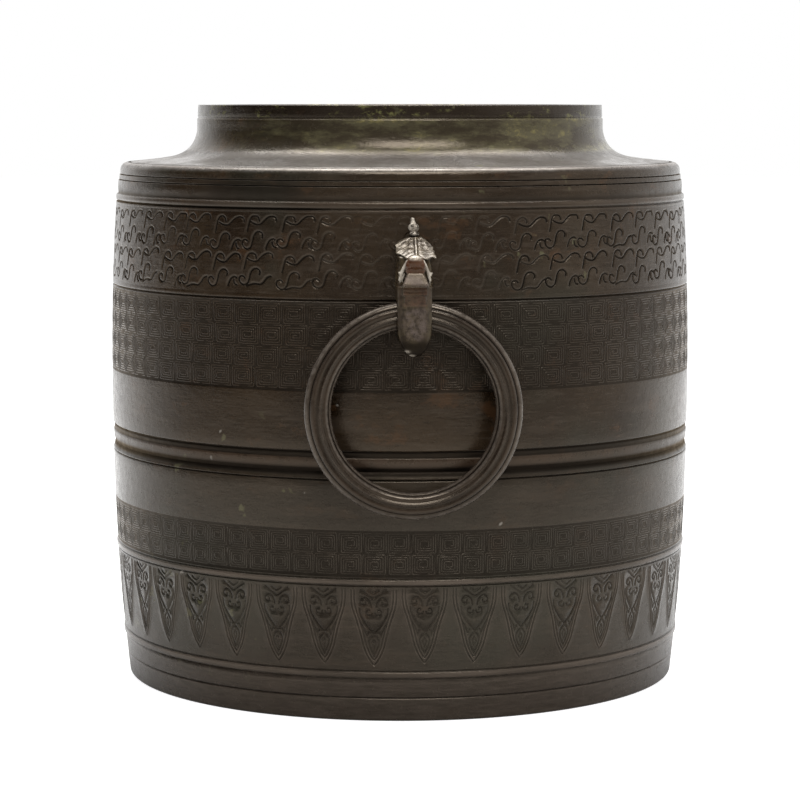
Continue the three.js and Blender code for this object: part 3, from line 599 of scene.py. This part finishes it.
STRAP_SIDE = [(ROOT, TONGUE_FOOT), *quadratic((STRAP_REACH - TONGUE_CURL, TONGUE_FOOT), (STRAP_REACH, TONGUE_FOOT),
    (STRAP_REACH, TONGUE_FOOT + TONGUE_CURL), 8),
    (15.7, 5.6), (16.1, 6.6), (16.6, 9.5), (16.8, 12.4), (16.2, MOUTH_H), (ROOT, MOUTH_H), (ROOT, EYE_HALF),
    *quadratic((EYE_REACH - 2, EYE_HALF), (EYE_REACH, EYE_HALF), (EYE_REACH, EYE_HALF - 2), 4),
    *quadratic((EYE_REACH, 4 - EYE_HALF), (EYE_REACH, -EYE_HALF), (EYE_REACH - 4, -EYE_HALF), 4), (ROOT, -EYE_HALF)]
STRAP_FRONT = [(8.4, 16), (STRAP_HALF, 6.4), (8.05, 5.6), (8.2, 4.8), (8.2, -4.5), (7.7, -8.5), (6.7, -11.8),
    (5, -14.8), (2.6, -17.6), (0.2, -18.9), (-2.4, -17.8), (-4.9, -15.2), (-6.7, -12), (-7.8, -8.5), (-8.2, -4.5),
    (-8.2, 4.8), (-8.05, 5.6), (-STRAP_HALF, 6.4), (-8.4, 16)]
STRAP_PLAN = mirrored([(STRAP_HALF, ROOT), (STRAP_HALF, STRAP_REACH - STRAP_BEVEL),
    (STRAP_HALF - STRAP_BEVEL, STRAP_REACH), (4.6, 18)])
FACE_SIDE = [(ROOT, 7), (12.6, 7), (13.6, 14), (13.2, 20), (12, 30.5), (5, 35.5), (ROOT, 36)]
FACE_FRONT = mirrored([(8.3, 7), (8.9, 16), (8.7, 20), (7.9, 26), (7.4, 33)])
FACE_PLAN = mirrored([(9, ROOT), (9, 5.5), (7.6, 11.5), (5.4, 14.5)])
CROWN_FRONT = [(5.4, 27.4), (7.4, 28.2), (9.8, 27), (9.35, 28.7), (8.5, 29.9), (8.8, 30.6), (8.1, 31.3), (8.4, 32.5),
    (5.2, 35.6), (2.9, 37.2), (-2.3, 37.2), (-5, 36), (-9.8, 33.5), (-9.1, 32.3), (-9.4, 31.3), (-9.3, 29.7),
    (-8, 29.4), (-6, 28.6), (-4.6, 27.6)]
SNOUT_SIDE = [(0, MOUTH_H), (19.5, MOUTH_H), (20.8, 15.3), (21.1, 16.1), (20, 18.6), (19, 20.9), (18.6, 21.2),
    (18.8, 23), (19.3, 25), (19.4, 26.6), (18.4, 28.6), (16.4, 29.4), (13, 29.6), (0, 30.4)]
SNOUT_FRONT = [(6.35, 14.7), (6.45, 15.4), (4, 20.9), (4.5, 22), (4.5, 24.6), (3.9, 26.8), (2.9, 28.4), (1.4, 29.4),
    (-1.4, 29.4), (-2.9, 28.4), (-3.9, 26.8), (-4.5, 24.6), (-4.5, 22), (-3.9, 20.9), (-6.1, 15.4), (-6, 14.7)]
# points (u, r, h) and the radius at each
CURLS = [
    ([(-3.8, 17.8, 27), (-4.7, 17.2, 24.9), (-5.6, 16.6, 22.6), (-6.4, 16, 20.8), (-7.3, 15.4, 21.3)],
    [0.45, 0.75, 0.95, 0.85, 0.5]),
    ([(-5.7, 16.6, 22.2), (-6.5, 16, 20), (-7, 15.6, 18.2), (-6.8, 15.4, 17.1)], [0.45, 0.75, 0.85, 0.45]),
    ([(-5, 16.8, 20.8), (-5.7, 16.2, 18.7), (-6, 15.8, 17.1)], [0.4, 0.6, 0.35]),
    ([(3.8, 17.8, 27), (4.8, 17.2, 24.4), (5.7, 16.5, 21.8), (6.8, 15.7, 20.2), (7.7, 14.9, 21)],
    [0.45, 0.75, 0.95, 0.85, 0.45]),
    ([(5.2, 16.7, 22), (6.1, 16.2, 19.6), (6.6, 15.8, 17.9), (6.3, 15.8, 17)], [0.45, 0.75, 0.9, 0.5]),
]


def outline(a, b, points):
    """Signed distance to a closed outline, negative inside"""
    points = np.array(points, float)
    best = np.full(np.broadcast(a, b).shape, 1e9)
    inside = np.zeros(best.shape, bool)
    for (x0, y0), (x1, y1) in zip(points, np.roll(points, -1, 0)):
        dx, dy = x1 - x0, y1 - y0
        t = np.clip(((a - x0) * dx + (b - y0) * dy) / (dx * dx + dy * dy + 1e-12), 0, 1)
        best = np.minimum(best, (a - x0 - t * dx) ** 2 + (b - y0 - t * dy) ** 2)
        if dy:
            inside ^= ((b >= y0) != (b >= y1)) & (a < x0 + (b - y0) * dx / dy)
    return np.where(inside, -1, 1) * np.sqrt(best)


def soft_min(a, b, k):
    t = np.clip(0.5 + 0.5 * (b - a) / k, 0, 1)
    return b * (1 - t) + a * t - k * t * (1 - t)


def soft_max(a, b, k):
    return -soft_min(-a, -b, k)


def lump(at, centre, radii):
    """Ellipsoid"""
    return (np.sqrt(sum(((v - c) / q) ** 2 for v, c, q in zip(at, centre, radii))) - 1) * min(radii)


def strand(at, points, radii):
    """Rounded cord through points, with a radius at each"""
    best = 1e9
    for p, q, start, end in zip(points, points[1:], radii, radii[1:]):
        way = np.subtract(q, p)
        off = [v - c for v, c in zip(at, p)]
        t = np.clip(sum(o * w for o, w in zip(off, way)) / (way @ way), 0, 1)
        away = np.sqrt(sum((o - t * w) ** 2 for o, w in zip(off, way)))
        best = np.minimum(best, away - (start + (end - start) * t))
    return best


# beads of the finial, which stand on a root against the wall, with the softness of each joint
FINIAL = (
    (strand, [(0.6, -4.2, 36), (0.5, -4.4, 39.6)], [2.3, 1.4], 0.7),
    (lump, (0.4, -2.6, 38.5), (2.35, 2.9, 1.1), 0.2),
    (lump, (0.15, -4, 41.2), (2.6, 2.8, 2.1), 0.35),
    (strand, [(0, -4.4, 42.4), (-0.3, -4.9, 45)], [1.5, 0.7], 0.4),
    (lump, (-0.35, -4.9, 45.3), (1, 0.95, 0.7), 0.15),
    (strand, [(0.4, -5, 37), (0.2, -8.5, 41.5)], [1.6, 1.6], 0.6),
)


def lug_distance(u, r, h):
    """Signed distance to the lug; each feature is joined on or cut out with a soft edge"""
    at = (u, r, h)

    def solid(side, front, plan, k):
        shape = soft_max(outline(r, h, side), outline(u, h, front), k)
        return soft_max(shape, outline(u, r, plan), k)

    f = solid(STRAP_SIDE, STRAP_FRONT, STRAP_PLAN, 1)
    f = soft_min(f, solid(FACE_SIDE, FACE_FRONT, FACE_PLAN, 1.2), 0.6)
    # the crown is a roof of two slopes that fall forward and sideways from the finial, with ragged ear tips
    v = u - CROWN_SHIFT
    slope = (h + 0.56 * np.clip(r, -2.5, None) + 0.32 * np.sqrt(v * v + 0.12) - 37.8) / 1.19
    fan = np.arctan2(v, np.clip(r, -3, None) + 5.5)
    slope = slope + 0.09 * (np.cos(19 * fan + 0.6) + np.cos(1.9 * r + 0.8 * v)) * ease(1.2, 3, np.abs(v))
    slope = slope - 0.22 * bell(v, 0, 0.5) + 0.15 * bell(np.abs(v), 1.25, 0.5)
    f = soft_max(f, slope + 0.7, 0.3)
    crown = soft_max(soft_max(slope, outline(v, h, CROWN_FRONT), 0.35), r - 15.6, 0.4)
    f = soft_min(f, np.maximum(crown, -slope - 2.6 - 0.5 * np.clip(6 - np.abs(u), 0, None)), 0.25)
    f = soft_min(f, soft_max(outline(r, h, SNOUT_SIDE), outline(u, h, SNOUT_FRONT), 0.8), 0.35)
    # nose, nostrils and the hollows under the ears
    f = soft_min(f, lump(at, (0, 17.7, 26.2), (3.5, 3.5, 3.3)), 0.8)
    for side in (-1, 1):
        f = soft_min(f, lump(at, (3.2 * side, 19, 24.6), (1.1, 1.1, 1.5)), 0.5)
        f = soft_max(f, -lump(at, (9.2 * side, 9.5, 26.2), (2.2, 4.6, 1.8)), 0.5)
    for points, radii in CURLS:
        f = soft_min(f, strand(at, points, radii), 0.15)
    # the collar runs up into the snout, with a fine line for the mouth and one under it
    collar = np.hypot(np.maximum(np.abs(h - 13) - 1.6, 0), np.maximum(r - 17.9, 0)) - 0.7
    f = soft_min(f, soft_max(collar, soft_max(np.abs(u) - 5.9, 8 - r, 0.5), 0.8), 0.4)
    f = soft_max(f, -strand(at, [(-7, 19, 14.5), (7, 19, 14.5)], [0.45] * 2), 0.3)
    f = soft_max(f, -strand(at, [(-7, 18.8, 12.9), (0, 19, 12.4), (7, 18.8, 12.9)], [0.42] * 3), 0.3)
    for shape, where, radii, k in FINIAL:
        f = soft_min(f, shape(at, where, radii), k)
    wall_gap = np.hypot(u, PIVOT_REACH + r) - wall_radius(h + PIVOT_Z) - SEAT_GAP
    return np.maximum(f, -wall_gap)


def surface_nets(field, origin, step):
    """Closed quad mesh of the zero surface of a field on a grid"""
    shape = tuple(n - 1 for n in field.shape)
    total, hits = np.zeros(shape + (3,)), np.zeros(shape)
    faces = []
    directions = ((0, 1, 2), (1, 0, 2), (2, 0, 1))
    for axis, *others in directions:
        for corner in np.ndindex(2, 2):
            start, way = np.zeros(3, int), np.zeros(3, int)
            start[others], way[axis] = corner, 1
            a, b = (field[tuple(slice(o, o + n) for o, n in zip(spot, shape))] for spot in (start, start + way))
            crossed = (a < 0) != (b < 0)
            t = np.where(crossed, a / np.where(crossed, a - b, 1), 0)
            total += crossed[..., None] * (start + t[..., None] * way)
            hits += crossed
    used = hits > 0
    index = np.full(shape, -1)
    index[used] = np.arange(used.sum())
    verts = (np.argwhere(used) + total[used] / hits[used][:, None]) * step + np.array(origin)
    for axis, j, k in directions:
        low = [slice(1, n) for n in shape]
        high = list(low)
        low[axis], high[axis] = slice(0, shape[axis]), slice(1, shape[axis] + 1)
        a, b = field[tuple(low)] < 0, field[tuple(high)] < 0
        for inside in (False, True):
            quad = []
            for dj, dk in ((0, 0), (1, 0), (1, 1), (0, 1)):
                cell = np.argwhere((a != b) & (a == inside))
                cell[:, j] += dj
                cell[:, k] += dk
                quad.append(index[tuple(cell.T)])
            faces.append(np.column_stack(quad)[:, ::-1 if inside == (axis == 1) else 1])
    return verts, np.vstack(faces)


def lug_normals(points, reach=0.08):
    steps = np.eye(3) * reach
    return unit(np.column_stack([lug_distance(*(points + s).T) - lug_distance(*(points - s).T) for s in steps]))


axes = [np.arange(low, high, LUG_STEP) for low, high in LUG_SPAN]
lug_verts, lug_faces = surface_nets(lug_distance(*np.ix_(*axes)), [a[0] for a in axes], LUG_STEP)
for _ in range(2):
    lug_verts -= lug_normals(lug_verts) * np.clip(lug_distance(*lug_verts.T), -0.25, 0.25)[:, None]
lug_normal = lug_normals(lug_verts, 0.2)
lug_hollow = np.clip(1 - lug_distance(*(lug_verts + lug_normal * 1.2).T) / 1.1, 0, 1)
lug_edge = np.clip((lug_distance(*(lug_verts - lug_normal * 0.7).T) + 0.55) / 0.35, 0, 1)


def lug_masks():
    """Pale rubbed bronze on the curls, the finial and the edges, and painted highlights on the crown's upward faces
    and ridges, the nose top and the tongue's tip; dirt in the hollows, and painted shade on the strap's bevels and
    where the tongue curls under
    """
    u, r, h = lug_verts.T
    side, v = np.abs(u), np.abs(u - CROWN_SHIFT)
    curl_gap = np.min([strand((u, r, h), p, q) for p, q in CURLS], axis=0)
    finial = ease(37.4, 37.8, h)
    # rubbed pale, and painted highlights on the crown's faces that turn up and out, along its ridges, on the nose top
    # and on the tongue's tip
    _, out, up = lug_normal.T
    # the crown's faces that turn up and out get a painted highlight, strongest along its ridges
    roof = ease(27.5, 30.5, h - 0.25 * np.clip(r - 10, 0, 8)) * ease(-0.2, 0.35, up + out * 0.5)
    ridges = roof * (0.2 * bell(v, 0, 0.35) + 0.2 * ease(1.8, 5, v))
    curls = np.exp(-np.clip(curl_gap, 0, None) / 0.22) * (h > 16)
    # painted highlight on the top of the nose
    nose = ease(26.6, 28.9, h) * ease(14.5, 16.5, r) * ease(3.6, 2, side)
    # painted highlight on the lower-left rim of the tongue's tip
    tip = (1.2 * bell(u, -4.1, 1.7) * bell(h, -15.6, 0.75) + bell(u, -1.4, 1.6) * bell(h, -17.5, 0.6)) * (r > 4)
    pale_and_highlight = np.max([ridges, curls, nose, finial, lug_edge * 0.3, tip], axis=0)
    # bare, reddish and speckled parts
    lip = ease(14.6, 15, h) * ease(21.2, 20.9, h) * ease(18.4, 19.2, r)
    strap = ease(1.25, 0.72, np.hypot(u / 5.9, np.clip(-3.0 - h, 0, None) / 7.4)) * ease(6, 3.4, h) * (r > 13)
    collar = ease(5.2, 6.2, h) * ease(15, 14, h) * ease(0.6, 0.9, out)
    snout = ease(20.8, 21.4, h) * ease(29, 26.6, h) * ease(14, 15.5, r) * ease(5.2, 4.4, side)
    crown = roof * (1 - 0.5 * bell(v, 0, 0.45)) * (0.8 + 0.2 * ease(4.5, 2, v))
    # dirt in the hollows, sockets and cheeks, and painted shade on the strap's bevels and where the tongue curls under
    hollow = ease(0.2, 0.8, lug_hollow) * (1 - 0.75 * (side < 5) * (r > 14)) * (1 - 0.7 * finial)
    # painted shade where the tongue curls under
    around_tip = ease(-5, -13.5, h) * 0.85 * (1 - np.clip(tip, 0, 1)) * (1 - strap)
    cheek = 0.15 * (h > 16.5) * (h < 28) * ease(0.3, 0.8, curl_gap) * ease(4.6, 5.4, side)
    sockets = 0.9 * bell(side, 8.3, 1.6) * bell(h, 26.8, 1.5) * (r > 4)
    # painted shade on the strap's side bevels
    bevel = 0.3 * ease(5.4, 6.2, side) * (h < 14)
    return {"wear": pale_and_highlight * (1 - 0.6 * lug_hollow * (1 - finial)),
        "recess": np.max([hollow, around_tip, cheek, sockets, bevel], axis=0),
        "tone": np.max([lip * 0.65, strap * 0.7, collar * 0.2], axis=0), "rust": np.maximum(snout, collar * 0.7),
        "spots": np.maximum(crown, 0.62 * ease(14.5, 13.5, h))}


LUG_MASKS = lug_masks()


def lug_object(name, node_name, sign):
    u, r, h = lug_verts.T
    obj = new_object(name, np.column_stack([u * sign, -(PIVOT_REACH + r) * sign, h + PIVOT_Z]), lug_faces.tolist())
    return dress(obj, "vessel", "lug_bronze", node_name, **LUG_MASKS)


lugs = [lug_object("front_beast_lug", "front_lug", 1), lug_object("back_beast_lug", "back_lug", -1)]


# ---- materials
class Nodes:
    """Builds a node tree; sockets are passed about as values"""

    def __init__(self, owner):
        owner.use_nodes = True
        self.nodes, self.links = owner.node_tree.nodes, owner.node_tree.links
        self.nodes.clear()

    def new(self, kind, inputs, **settings):
        """A node with its settings and its inputs, by name or number"""
        made = self.nodes.new("ShaderNode" + kind)
        for key, value in settings.items():
            setattr(made, key, value)
        for key, value in inputs.items():
            socket = made.inputs[key]
            if isinstance(value, bpy.types.NodeSocket):
                self.links.new(value, socket)
            elif isinstance(value, tuple):
                socket.default_value = (*value, 1) if len(socket.default_value) == 4 else value
            else:
                socket.default_value = value
        return made.outputs

    def place(self, kind):
        """Position, then its x, y and z"""
        where = self.new("TexCoord", {})[kind]
        return (where, *self.new("SeparateXYZ", {0: where}))

    def span(self, value, low, high, to_low=0, to_high=1):
        inputs = dict(enumerate((value, low, high, to_low, to_high)))
        return self.new("MapRange", inputs, interpolation_type="SMOOTHSTEP")[0]

    def math(self, operation, a, b):
        return self.new("Math", {0: a, 1: b}, operation=operation)[0]

    def plus(self, a, b):
        return self.math("ADD", a, b)

    def times(self, a, *others):
        for b in others:
            a = self.math("MULTIPLY", a, b)
        return a

    def mix(self, factor, a, b):
        return self.new("Mix", {0: factor, 6: a, 7: b}, data_type="RGBA", blend_type="MIX")[2]


class Paint(Nodes):
    """One procedural bronze, built up in coats"""

    def __init__(self, name):
        self.material = bpy.data.materials.new(name)
        super().__init__(self.material)
        self.where, self.x, self.y, self.z = self.place("Object")

    def noise(self, scale, detail=4, roughness=0.6, stretch=(1, 1, 1), shift=(0, 0, 0)):
        place = self.new("Mapping", {"Scale": stretch, "Location": shift, "Vector": self.where})[0]
        return self.new("TexNoise", {"Scale": scale, "Detail": detail, "Roughness": roughness, "Vector": place})["Fac"]

    def between(self, value, low, high, soft):
        """1 where low < value < high, with soft edges"""
        return self.times(self.span(value, low - soft, low + soft), self.span(value, high - soft, high + soft, 1, 0))

    def mask(self, name):
        return self.new("Attribute", {}, attribute_name=name)["Fac"]

    def coat(self, tone, *amounts):
        """Lays a tone over the colour so far, as much as the product of the amounts"""
        self.colour = self.mix(self.times(*amounts), self.colour, tone)

    def finish(self, roughness, height, distance, recess, tint=(1, 0.84, 0.66)):
        # where the recess mask is high the surface is painted metallic and near black, so it hardly reflects: dirt,
        # and painted shade in the grooves, on the lug's bevels and under its tongue
        dark_dirt_and_shade = self.span(recess, 0.4, 0.95, 0, 0.8)
        bump = self.new("Bump", {"Strength": 0.5, "Distance": distance, "Height": height})
        shader = self.new("BsdfPrincipled", {
            "Metallic": dark_dirt_and_shade, "Base Color": self.mix(dark_dirt_and_shade, self.colour, (0.006, 0.0042, 0.003)),
            "Roughness": roughness, "IOR": 1.5, "Specular Tint": tint, "Normal": bump["Normal"]})
        self.new("OutputMaterial", {"Surface": shader["BSDF"]})
        return self.material


def body_bronze():
    """Dark grey-brown patina, browner above, mossy about the neck, dirt and painted shade in the lines, and rubbed
    edges
    """
    paint = Paint("dark_patina_bronze")
    noise, span, mix, plus, times, coat, z = (paint.noise, paint.span, paint.mix, paint.plus, paint.times, paint.coat,
        paint.z)
    cloud = noise(13, 5, 0.62)
    streak = noise(20, 4, 0.6, stretch=(1, 1, 7))
    brush = noise(85, 5, 0.72, stretch=(1, 1, 8))
    grain = noise(230, 4, 0.7)
    pores = noise(700, 2, 0.5)
    grey = mix(span(cloud, 0.34, 0.68), (0.014, 0.0105, 0.0075), (0.031, 0.026, 0.0195))
    brown = mix(span(cloud, 0.34, 0.68), (0.0125, 0.0065, 0.003), (0.030, 0.0185, 0.0095))
    high = span(plus(z, span(cloud, 0.3, 0.7, -0.012, 0.012)), 0.10, 0.15)
    paint.colour = mix(high, grey, brown)
    coat((0.042, 0.031, 0.022), span(streak, 0.52, 0.68), 0.5)
    coat((0.058, 0.044, 0.033), span(brush, 0.5, 0.72, 0, 0.45))
    coat((0.006, 0.0035, 0.002), span(brush, 0.28, 0.46, 0.55, 0))
    # rust, mostly above, and the browner rib
    rust = noise(48, 5, 0.7, stretch=(1, 1, 1.6), shift=(0.2, 0.7, 0.1))
    coat((0.06, 0.028, 0.012), span(rust, 0.56, 0.68), span(high, 0, 1, 0.2, 0.6))
    coat((0.05, 0.031, 0.02), paint.between(z, 0.1215, 0.1285, 0.0006), span(grain, 0.3, 0.6, 0.5, 0.95))
    green = span(noise(9, 4, 0.55, shift=(0.31, 0.12, 0)), 0.53, 0.64)
    coat((0.02, 0.0225, 0.0165), green, 0.45)
    # moss on the neck and the lip, in blotches drawn out along the neck
    moss = noise(26, 6, 0.74, stretch=(1, 1, 3.2), shift=(0.04, 0, 0.03))
    speck = noise(260, 4, 0.75, stretch=(1, 1, 1.4))
    olive = mix(span(moss, 0.4, 0.58), (0.03, 0.023, 0.013), (0.084, 0.075, 0.04))
    bright_moss = times(span(moss, 0.5, 0.62), span(speck, 0.48, 0.62))
    olive = mix(bright_moss, olive, (0.18, 0.155, 0.06))
    clear = span(plus(paint.x, span(cloud, 0.3, 0.7, -0.02, 0.02)), -0.078, -0.052, 0.12, 0.95)
    coat(olive, paint.between(z, 0.2715, 0.2884, 0.0016), clear)
    lip = span(z, 0.2882, 0.2886)
    coat((0.010, 0.0062, 0.004), lip, 0.8)
    coat((0.13, 0.125, 0.045), lip, bright_moss)
    # the shoulder is scoured grey
    shoulder = paint.between(z, 0.2635, 0.2712, 0.0012)
    scour = noise(30, 6, 0.75, shift=(0.1, 0.5, 0.2))
    coat(mix(span(scour, 0.4, 0.62), (0.018, 0.0155, 0.014), (0.085, 0.079, 0.075)), shoulder, 0.85)
    # flecks of moss, and pale chips below, few and small
    fleck = times(span(noise(85, 3, 0.6), 0.66, 0.7), span(noise(7, 2, 0.5, shift=(0, 0.4, 0.9)), 0.5, 0.62))
    coat((0.12, 0.115, 0.06), fleck, 0.6)
    chip = times(span(noise(120, 2, 0.5, shift=(0.6, 0.3, 0.2)), 0.735, 0.76),
        span(noise(11, 2, 0.5, shift=(0.3, 0.9, 0.4)), 0.5, 0.56))
    coat((0.26, 0.24, 0.21), chip, span(z, 0.15, 0.17, 0.75, 0))
    coat(mix(span(brush, 0.36, 0.64), (0.034, 0.0255, 0.02), (0.06, 0.046, 0.037)), span(z, 0.018, 0.03, 0.75, 0))
    recess, wear = paint.mask("recess"), paint.mask("wear")
    # the recess mask is painted dark: dirt and painted shade in the grooves, coves and the frets' ground
    coat((0.0045, 0.0028, 0.0016), recess, span(grain, 0.25, 0.6, 0.95, 0.7))
    coat((0.085, 0.066, 0.052), wear, span(streak, 0.35, 0.6, 0.35, 0.9))
    roughness = plus(span(grain, 0.3, 0.7, 0.17, 0.29), times(recess, 0.3))
    roughness = plus(roughness, times(shoulder, span(scour, 0.35, 0.65, 0.2, 0.04)))
    roughness = paint.math("SUBTRACT", roughness, times(wear, 0.07))
    height = plus(plus(grain, times(pores, 0.35)), times(brush, 0.8))
    return paint.finish(roughness, height, 0.00028, recess)


def handled_bronze(name, dark, light, worn_and_highlight, roughness, scale=1, bare=None):
    """Bronze that hands have kept smooth, with brown showing through at the edges"""
    paint = Paint(name)
    noise, span, times, coat = paint.noise, paint.span, paint.times, paint.coat
    grain, mottle = noise(320.0 * scale, 4, 0.65), noise(300.0 * scale, 5, 0.75)
    paint.colour = paint.mix(span(noise(40.0 * scale, 5, 0.6), 0.36, 0.66), dark, light)
    wear, recess, height = paint.mask("wear"), paint.mask("recess"), grain
    if bare:
        spots = span(noise(430, 4, 0.7, shift=(0.2, 0.2, 0.2)), 0.4, 0.62, 1, 0.15)
        recess = paint.math("MAXIMUM", recess, times(paint.mask("spots"), spots))
        patches = span(noise(170, 5, 0.75, shift=(0.3, 0.1, 0.6)), 0.4, 0.58)
        coat((0.066, 0.048, 0.022), patches, 0.8)
        coat(bare, paint.mask("tone"), span(patches, 0.1, 0.9, 1, 0.5))
        coat((0.075, 0.022, 0.009), paint.mask("rust"), span(mottle, 0.3, 0.6, 0.95, 0.6))
        height = paint.plus(grain, times(mottle, 1.1))
    # rubbed pale metal, with painted highlights on the ring's fillets and on the lug's crown, nose top and tongue tip
    coat(worn_and_highlight, wear, span(mottle, 0.4, 0.58, 0.45, 1))
    # the recess mask painted dark: dirt, and painted shade in the ring's grooves, on the lug's bevels and under its
    # tongue
    coat((0.004, 0.0026, 0.0016), recess, span(grain, 0.3, 0.65, 0.95, 0.6))
    rough = paint.plus(span(grain, 0.3, 0.7, roughness - 0.05, roughness + 0.07), times(recess, 0.25))
    return paint.finish(rough, height, 0.00022, recess)


BODY = body_bronze()
# the third colour is the pale of rubbed metal and of the painted highlights on the ring's fillets and the lug's crown,
# nose and tongue tip
RING = handled_bronze("handled_bronze", (0.0095, 0.0052, 0.003), (0.028, 0.018, 0.0115), (0.10, 0.083, 0.068), 0.17)
LUG = handled_bronze("lug_bronze", (0.018, 0.011, 0.006), (0.044, 0.028, 0.016), (0.52, 0.465, 0.39), 0.24,
    bare=(0.135, 0.105, 0.092))
PLATE = handled_bronze("plate_bronze", (0.02, 0.015, 0.011), (0.045, 0.035, 0.025), (0.08, 0.06, 0.045), 0.4, 0.5)
RIVET = handled_bronze("rivet_bronze", (0.03, 0.022, 0.015), (0.06, 0.045, 0.03), (0.12, 0.09, 0.06), 0.35)

for material, pieces in ((BODY, (pot, *frets, scroll_relief, blade_relief)), (RING, rings), (LUG, lugs)):
    for obj in pieces:
        obj.data.materials.append(material)
for node_name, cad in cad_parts.items():
    cad.data.materials.clear()
    cad.data.materials.append({"lug": LUG, "ring": RING, "rivet": RIVET, "plate": PLATE, "body": BODY}[
        node_name.split("_")[-1]])

# ---- stage, light and camera, in metres
FLOOR_R, FLOOR_STEPS, FLOOR_DROP = 9000, 96, 0.0002
CAMERA_DISTANCE, CAMERA_HEIGHT, CAMERA_LENS = 1.4889, 0.2996, 128.25
CAMERA_AZIMUTH, CAMERA_DIP = math.radians(-2.35), 6.108
WHITE = (1, 1, 1)
scene = bpy.context.scene
scene.view_settings.view_transform = "Standard"


def make_floor():
    """A pale disc, bright to the camera; reflections see it white beyond the pot and dimmer before it"""
    material = bpy.data.materials.new("pale_floor")
    tree = Nodes(material)
    ray = tree.new("LightPath", {})
    grey = tree.new("BsdfDiffuse", {"Color": (0.45, 0.45, 0.45)})[0]
    glow = tree.new("Emission", {"Strength": 0.85})[0]
    sheen = tree.new("Emission", {"Strength": tree.span(tree.place("Object")[2], -0.1, 0.9, 0, 0.95)})[0]
    lit = grey
    for light, kind in ((sheen, "Is Glossy Ray"), (glow, "Is Camera Ray"), (glow, "Is Transmission Ray")):
        lit = tree.new("MixShader", {0: ray[kind], 1: lit, 2: tree.new("AddShader", {0: grey, 1: light})[0]})[0]
    tree.new("OutputMaterial", {"Surface": lit})
    verts = [(0, 0, 0)] + [(*p, 0) for p in fillet(0, 0, FLOOR_R, 0, TAU, FLOOR_STEPS + 1)[:-1]]
    faces = [[0, 1 + i, 1 + (i + 1) % FLOOR_STEPS] for i in range(FLOOR_STEPS)]
    floor = new_object("studio_floor", verts, faces, smooth=False)
    floor.data.materials.append(material)
    floor.location.z = -FLOOR_DROP


def make_world():
    """White to the camera; to the pot a room, dim before it, white behind it, with a soft window at its right"""
    scene.world = bpy.data.worlds.new("studio")
    tree = Nodes(scene.world)
    ray = tree.new("LightPath", {})
    _, x, y, _ = tree.place("Generated")
    room = tree.plus(tree.span(y, 0.38, 0.9, 0.3, 1.25), tree.span(x, 0.5, 0.98, 0, 0.55))
    room = tree.plus(room, tree.span(x, -1, -0.5, -0.27, 0))
    soft, white = (tree.new("Background", {"Color": WHITE, "Strength": strength})[0] for strength in (room, 1))
    seen = tree.math("MAXIMUM", ray["Is Camera Ray"], ray["Is Transmission Ray"])
    tree.new("OutputWorld", {"Surface": tree.new("MixShader", {0: seen, 1: soft, 2: white})[0]})


make_floor()
make_world()
for name, place, height, size, power in (("softbox_top", (0, 0.45, 1.7), 0.2, (1.8, 1.2), 44),
        ("strip_top", (0, 0.43, 1.68), 0.2, (1.1, 0.36), 18),
        ("softbox_front", (0.1, -1.1, 1.75), 0.15, (1.2, 0.7), 26)):
    data = bpy.data.lights.new(name, "AREA")
    data.shape, data.energy = "RECTANGLE", power
    data.size, data.size_y = size
    lamp = bpy.data.objects.new(name, data)
    scene.collection.objects.link(lamp)
    lamp.location = place
    lamp.rotation_euler = (Vector((0, 0, height)) - Vector(place)).to_track_quat("-Z", "Y").to_euler()

optics = bpy.data.cameras.new("camera")
optics.sensor_width = 36.0
optics.lens = CAMERA_LENS
camera = bpy.data.objects.new("camera", optics)
scene.collection.objects.link(camera)
camera.location = (CAMERA_DISTANCE * math.sin(CAMERA_AZIMUTH), -CAMERA_DISTANCE * math.cos(CAMERA_AZIMUTH),
    CAMERA_HEIGHT)
camera.rotation_euler = (math.radians(90 - CAMERA_DIP), 0, CAMERA_AZIMUTH)
scene.camera = camera
